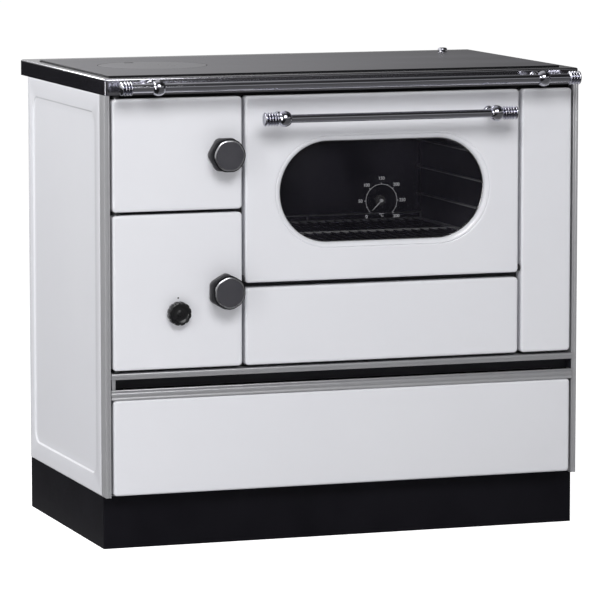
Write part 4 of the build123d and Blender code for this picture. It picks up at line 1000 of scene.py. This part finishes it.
fit(build("oven_door_front", windowed_front()), white_enamel, "oven_door", "white_enamel",
    "oven_door_panel")
polished_trim = finish("polished_trim", (0.42, 0.42, 0.43), (0.55, 0.55, 0.56), 20, (0.15, 0.25),
                       metal=1.0, relief=(0.00001, 700))
ring_front = front + window_roll - 0.0004
ring_profile = [(-0.0002, ring_front), (-0.0010, ring_front + 0.0001), (-0.0014, ring_front + 0.0005),
                (-0.0015, ring_front + 0.0010), (-0.0015, trim_hi.y), (-0.0002, trim_hi.y)]
window_ring = skin([window(*place) for place in ring_profile], looped=True)
fit(build("window_ring", window_ring), polished_trim, "oven_door", "trim_steel", "window_trim")
fit_rope("oven_door")

tinted_glass = finish("tinted_glass", (0.016, 0.015, 0.023), (0.052, 0.049, 0.066), 9, (0.015, 0.03),
                      relief=(0.00002, 6), shine=0.6)
feed(tinted_glass, "Alpha", 0.14)
feed(tinted_glass, "IOR", 1.5)
paint(tinted_glass, "oven_glass")


# --- Oven thermometer ---
# The scale is printed on the front of the glass in pale grey: an open ring, short strokes and
# numbers from 0 to 300. A lacquered needle turns on a shaft through the glass.

glass_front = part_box("oven_glass")[0].y
dial_x, _, dial_z = middle("thermometer_coil")
ink, ring_inner, ring_outer, number_circle = 0.00012, 0.0293, 0.0300, 0.0402


def dial_angle(reading):
    """Readings run clockwise from 0 at the lower left to 300 at the lower right."""
    return radians(225 - 270 * reading / 300)


def printed_arc(inner, outer, start, end, steps):
    """A flat band between two circles, as thick as the ink."""
    corners = [(inner, 0.0), (outer, 0.0), (outer, -ink), (inner, -ink)]
    return skin([[(dial_x + r * cos(t), glass_front + y, dial_z + r * sin(t)) for r, y in corners]
                 for t in np.linspace(start, end, steps)])


def printed_words(name, words, x, z, size):
    """Letters filled flat and given the ink's thickness, made a mesh and then set in place."""
    letters = bpy.data.curves.new(name, "FONT")
    letters.body = words
    letters.size = size
    letters.align_x = "CENTER"
    letters.align_y = "CENTER"
    letters.offset = size * 0.012
    letters.extrude = ink / 2
    holder = bpy.data.objects.new(name, letters)
    scene.collection.objects.link(holder)
    bpy.context.view_layer.update()
    mesh = bpy.data.meshes.new_from_object(holder.evaluated_get(bpy.context.evaluated_depsgraph_get()))
    bpy.data.objects.remove(holder)
    bpy.data.curves.remove(letters)
    flat = np.zeros(len(mesh.vertices) * 3, np.float32)
    mesh.vertices.foreach_get("co", flat)
    flat = flat.reshape(-1, 3)
    stood = np.stack([x + flat[:, 0], glass_front - ink / 2 - flat[:, 2], z + flat[:, 1]], 1)
    mesh.vertices.foreach_set("co", stood.astype(np.float32).ravel())
    mesh.name = name
    mesh.materials.clear()
    printed = bpy.data.objects.new(name, mesh)
    scene.collection.objects.link(printed)
    fit(printed, dial_ink, "oven_door", "needle")


marks = [printed_arc(ring_inner, ring_outer, dial_angle(0), dial_angle(300), 91)]
for reading in range(0, 301, 25):
    angle = dial_angle(reading)
    half, reach = (0.016, 0.0325) if reading % 50 == 0 else (0.010, 0.0315)
    marks.append(printed_arc(ring_outer, reach, angle - half, angle + half, 2))
dial_ink = finish("dial_ink", (0.28, 0.28, 0.30), (0.36, 0.36, 0.38), 200, (0.5, 0.6),
                  relief=(0.00001, 2000))
fit(build("dial_ring_print", *marks), dial_ink, "oven_door", "needle")
for reading in range(0, 301, 50):
    angle = dial_angle(reading)
    printed_words(f"dial_{reading}", str(reading), dial_x + number_circle * cos(angle),
                  dial_z + number_circle * sin(angle), 0.0082)
printed_words("dial_unit", "°C", dial_x, dial_z - 0.0262, 0.0078)

needle_lacquer = finish("needle_lacquer", (0.16, 0.16, 0.17), (0.24, 0.24, 0.25), 300, (0.3, 0.4),
                        relief=(0.00001, 2000))
paint(needle_lacquer, "thermometer_needle")
paint(browned_wire, "thermometer_coil")


# --- Oven handle ---
# The same make as the hob rail, a little thinner and with a longer row of beads, on two balls
# whose feet stand on the door.

carried_bar("oven_handle", "handle_brackets", 0.0075, 4, "oven_door")


# --- Cover and right panel ---
# Two fronts in the same white enamel: a wide low cover under the oven door, which pulls off for
# cleaning, and a narrow fixed panel between the oven and the right post.

fit_front("cover_panel_front", "cover_panel", "cover")
fit_front("right_panel_front", "right_panel", "stove")


# --- Trim strip and recess ---
# An aluminium strip with one fine groove runs under the doors; below it a black strip closes the
# recess above the drawer, its ends folded forwards, with a small metal clip at its left end.


def along_x(section, x0, x1, ease=0.0004):
    """A section in depth and height carried from end to end, its ends eased by a hair."""
    core = section.mean(axis=0)
    return skin([lift(core + (section - core) * shrink, x, "x")
                 for x, shrink in ((x0, 0.98), (x0 + ease, 1.0), (x1 - ease, 1.0), (x1, 0.98))])


lo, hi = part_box("trim_strip")
turn = quarter_turn(6)
upper, lower = 0.0018, 0.0012
nose_top = [(lo.y + upper * (1 - sin(t)), hi.z - upper * (1 - cos(t))) for t in turn]
nose_low = [(lo.y + lower * (1 - cos(t)), lo.z + lower * (1 - sin(t))) for t in turn]
groove_z = lo.z + 0.42 * (hi.z - lo.z)
groove = [(lo.y + deep, groove_z + up)
          for deep, up in ((0, 0.0008), (0.0007, 0.0004), (0.0007, -0.0004), (0, -0.0008))]
section = np.array([(hi.y, hi.z)] + nose_top + groove + nose_low + [(hi.y, lo.z)])
strip_metal = finish("strip_metal", (0.44, 0.44, 0.46), (0.50, 0.50, 0.52), 4, (0.30, 0.38), metal=0.5,
                     relief=(0.000012, 900), stretch=(0.02, 1, 1))
fit(build("trim_strip_extrusion", along_x(section, lo.x, hi.x)), strip_metal, "stove", "aluminium",
    "trim_strip")

recess_black = finish("recess_black", (0.020, 0.0195, 0.025), (0.028, 0.027, 0.034), 9, (0.42, 0.55),
                      relief=(0.0001, 700), shine=0.3)
paint(recess_black, "recess_strip")
recess_lo, recess_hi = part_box("recess_strip")
fold_outer, fold_inner = hi.x - 0.0002, hi.x - 0.0010
for name, side in (("recess_fold_left", -1), ("recess_fold_right", 1)):
    start, end = sorted((side * fold_outer, side * fold_inner))
    fold = [lift(rounded(lo.y + 0.0035 + inset, hi.y - 0.003, recess_lo.z + 0.0003, recess_hi.z - 0.0002,
                         0.0012, 4), x, "x")
            for x, inset in ((start, 0.0002), (start + 0.0002, 0.0), (end - 0.0002, 0.0), (end, 0.0002))]
    fit(build(name, skin(fold)), recess_black, "stove", "black_enamel")
clip_left, clip_right = lo.x + 0.0006, lo.x + 0.0074
clip_profile = [(0.0016, 0.0042), (0.0, 0.0042), (0.0, 0.0022), (0.0005, 0.0015), (0.0016, 0.0012),
                (0.0030, 0.0016)]
clip = [lift(rounded(clip_left + inset, clip_right - inset, recess_lo.z + 0.0004 + inset,
                     recess_hi.z - 0.00005 - inset * 0.2, 0.0012 - 0.25 * inset, 4), lo.y + depth, "y")
        for inset, depth in clip_profile]
fit(build("recess_end_clip", skin(clip)), strip_metal, "stove", "aluminium")


# --- Fuel drawer ---
# A white front on a folded steel tub, with an aluminium grip along its top: a face with two flutes
# and a channel behind it for the fingers. Runners slide in rails fixed in the body.

fit_front("drawer_enamel_front", "drawer_front", "fuel_drawer")

lo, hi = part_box("drawer_grip")
low, high, face, back = lo.z, hi.z, lo.y, hi.y
flute = np.linspace(0, pi, 9)
lip = [(0.0035, 0.0006), (0.0026, 0), (0.0008, 0), (0.0002, 0.0006), (0, 0.0012)]
fluted = lip + [(0.0026 * sin(t) ** 0.8, 0.0017 + 0.0068 * t / pi) for t in flute] + [(0, 0.0099)]
fluted += [(0.0009 * sin(t), 0.0100 + 0.0056 * t / pi) for t in flute]
section = np.array([(face + deep, high - down) for deep, down in fluted]
                   + [(face, low + 0.0005), (face + 0.0004, low), (back, low), (back, high - 0.0022),
                      (back - 0.002, high - 0.0022), (back - 0.002, low + 0.003),
                      (face + 0.0045, low + 0.003), (face + 0.0045, high - 0.0012)])
fit(build("drawer_grip_extrusion", along_x(section, lo.x, hi.x), sharp=36), strip_metal, "fuel_drawer",
    "aluminium", "drawer_grip")
paint(galvanised, "drawer_box", "drawer_runners", "drawer_rails")
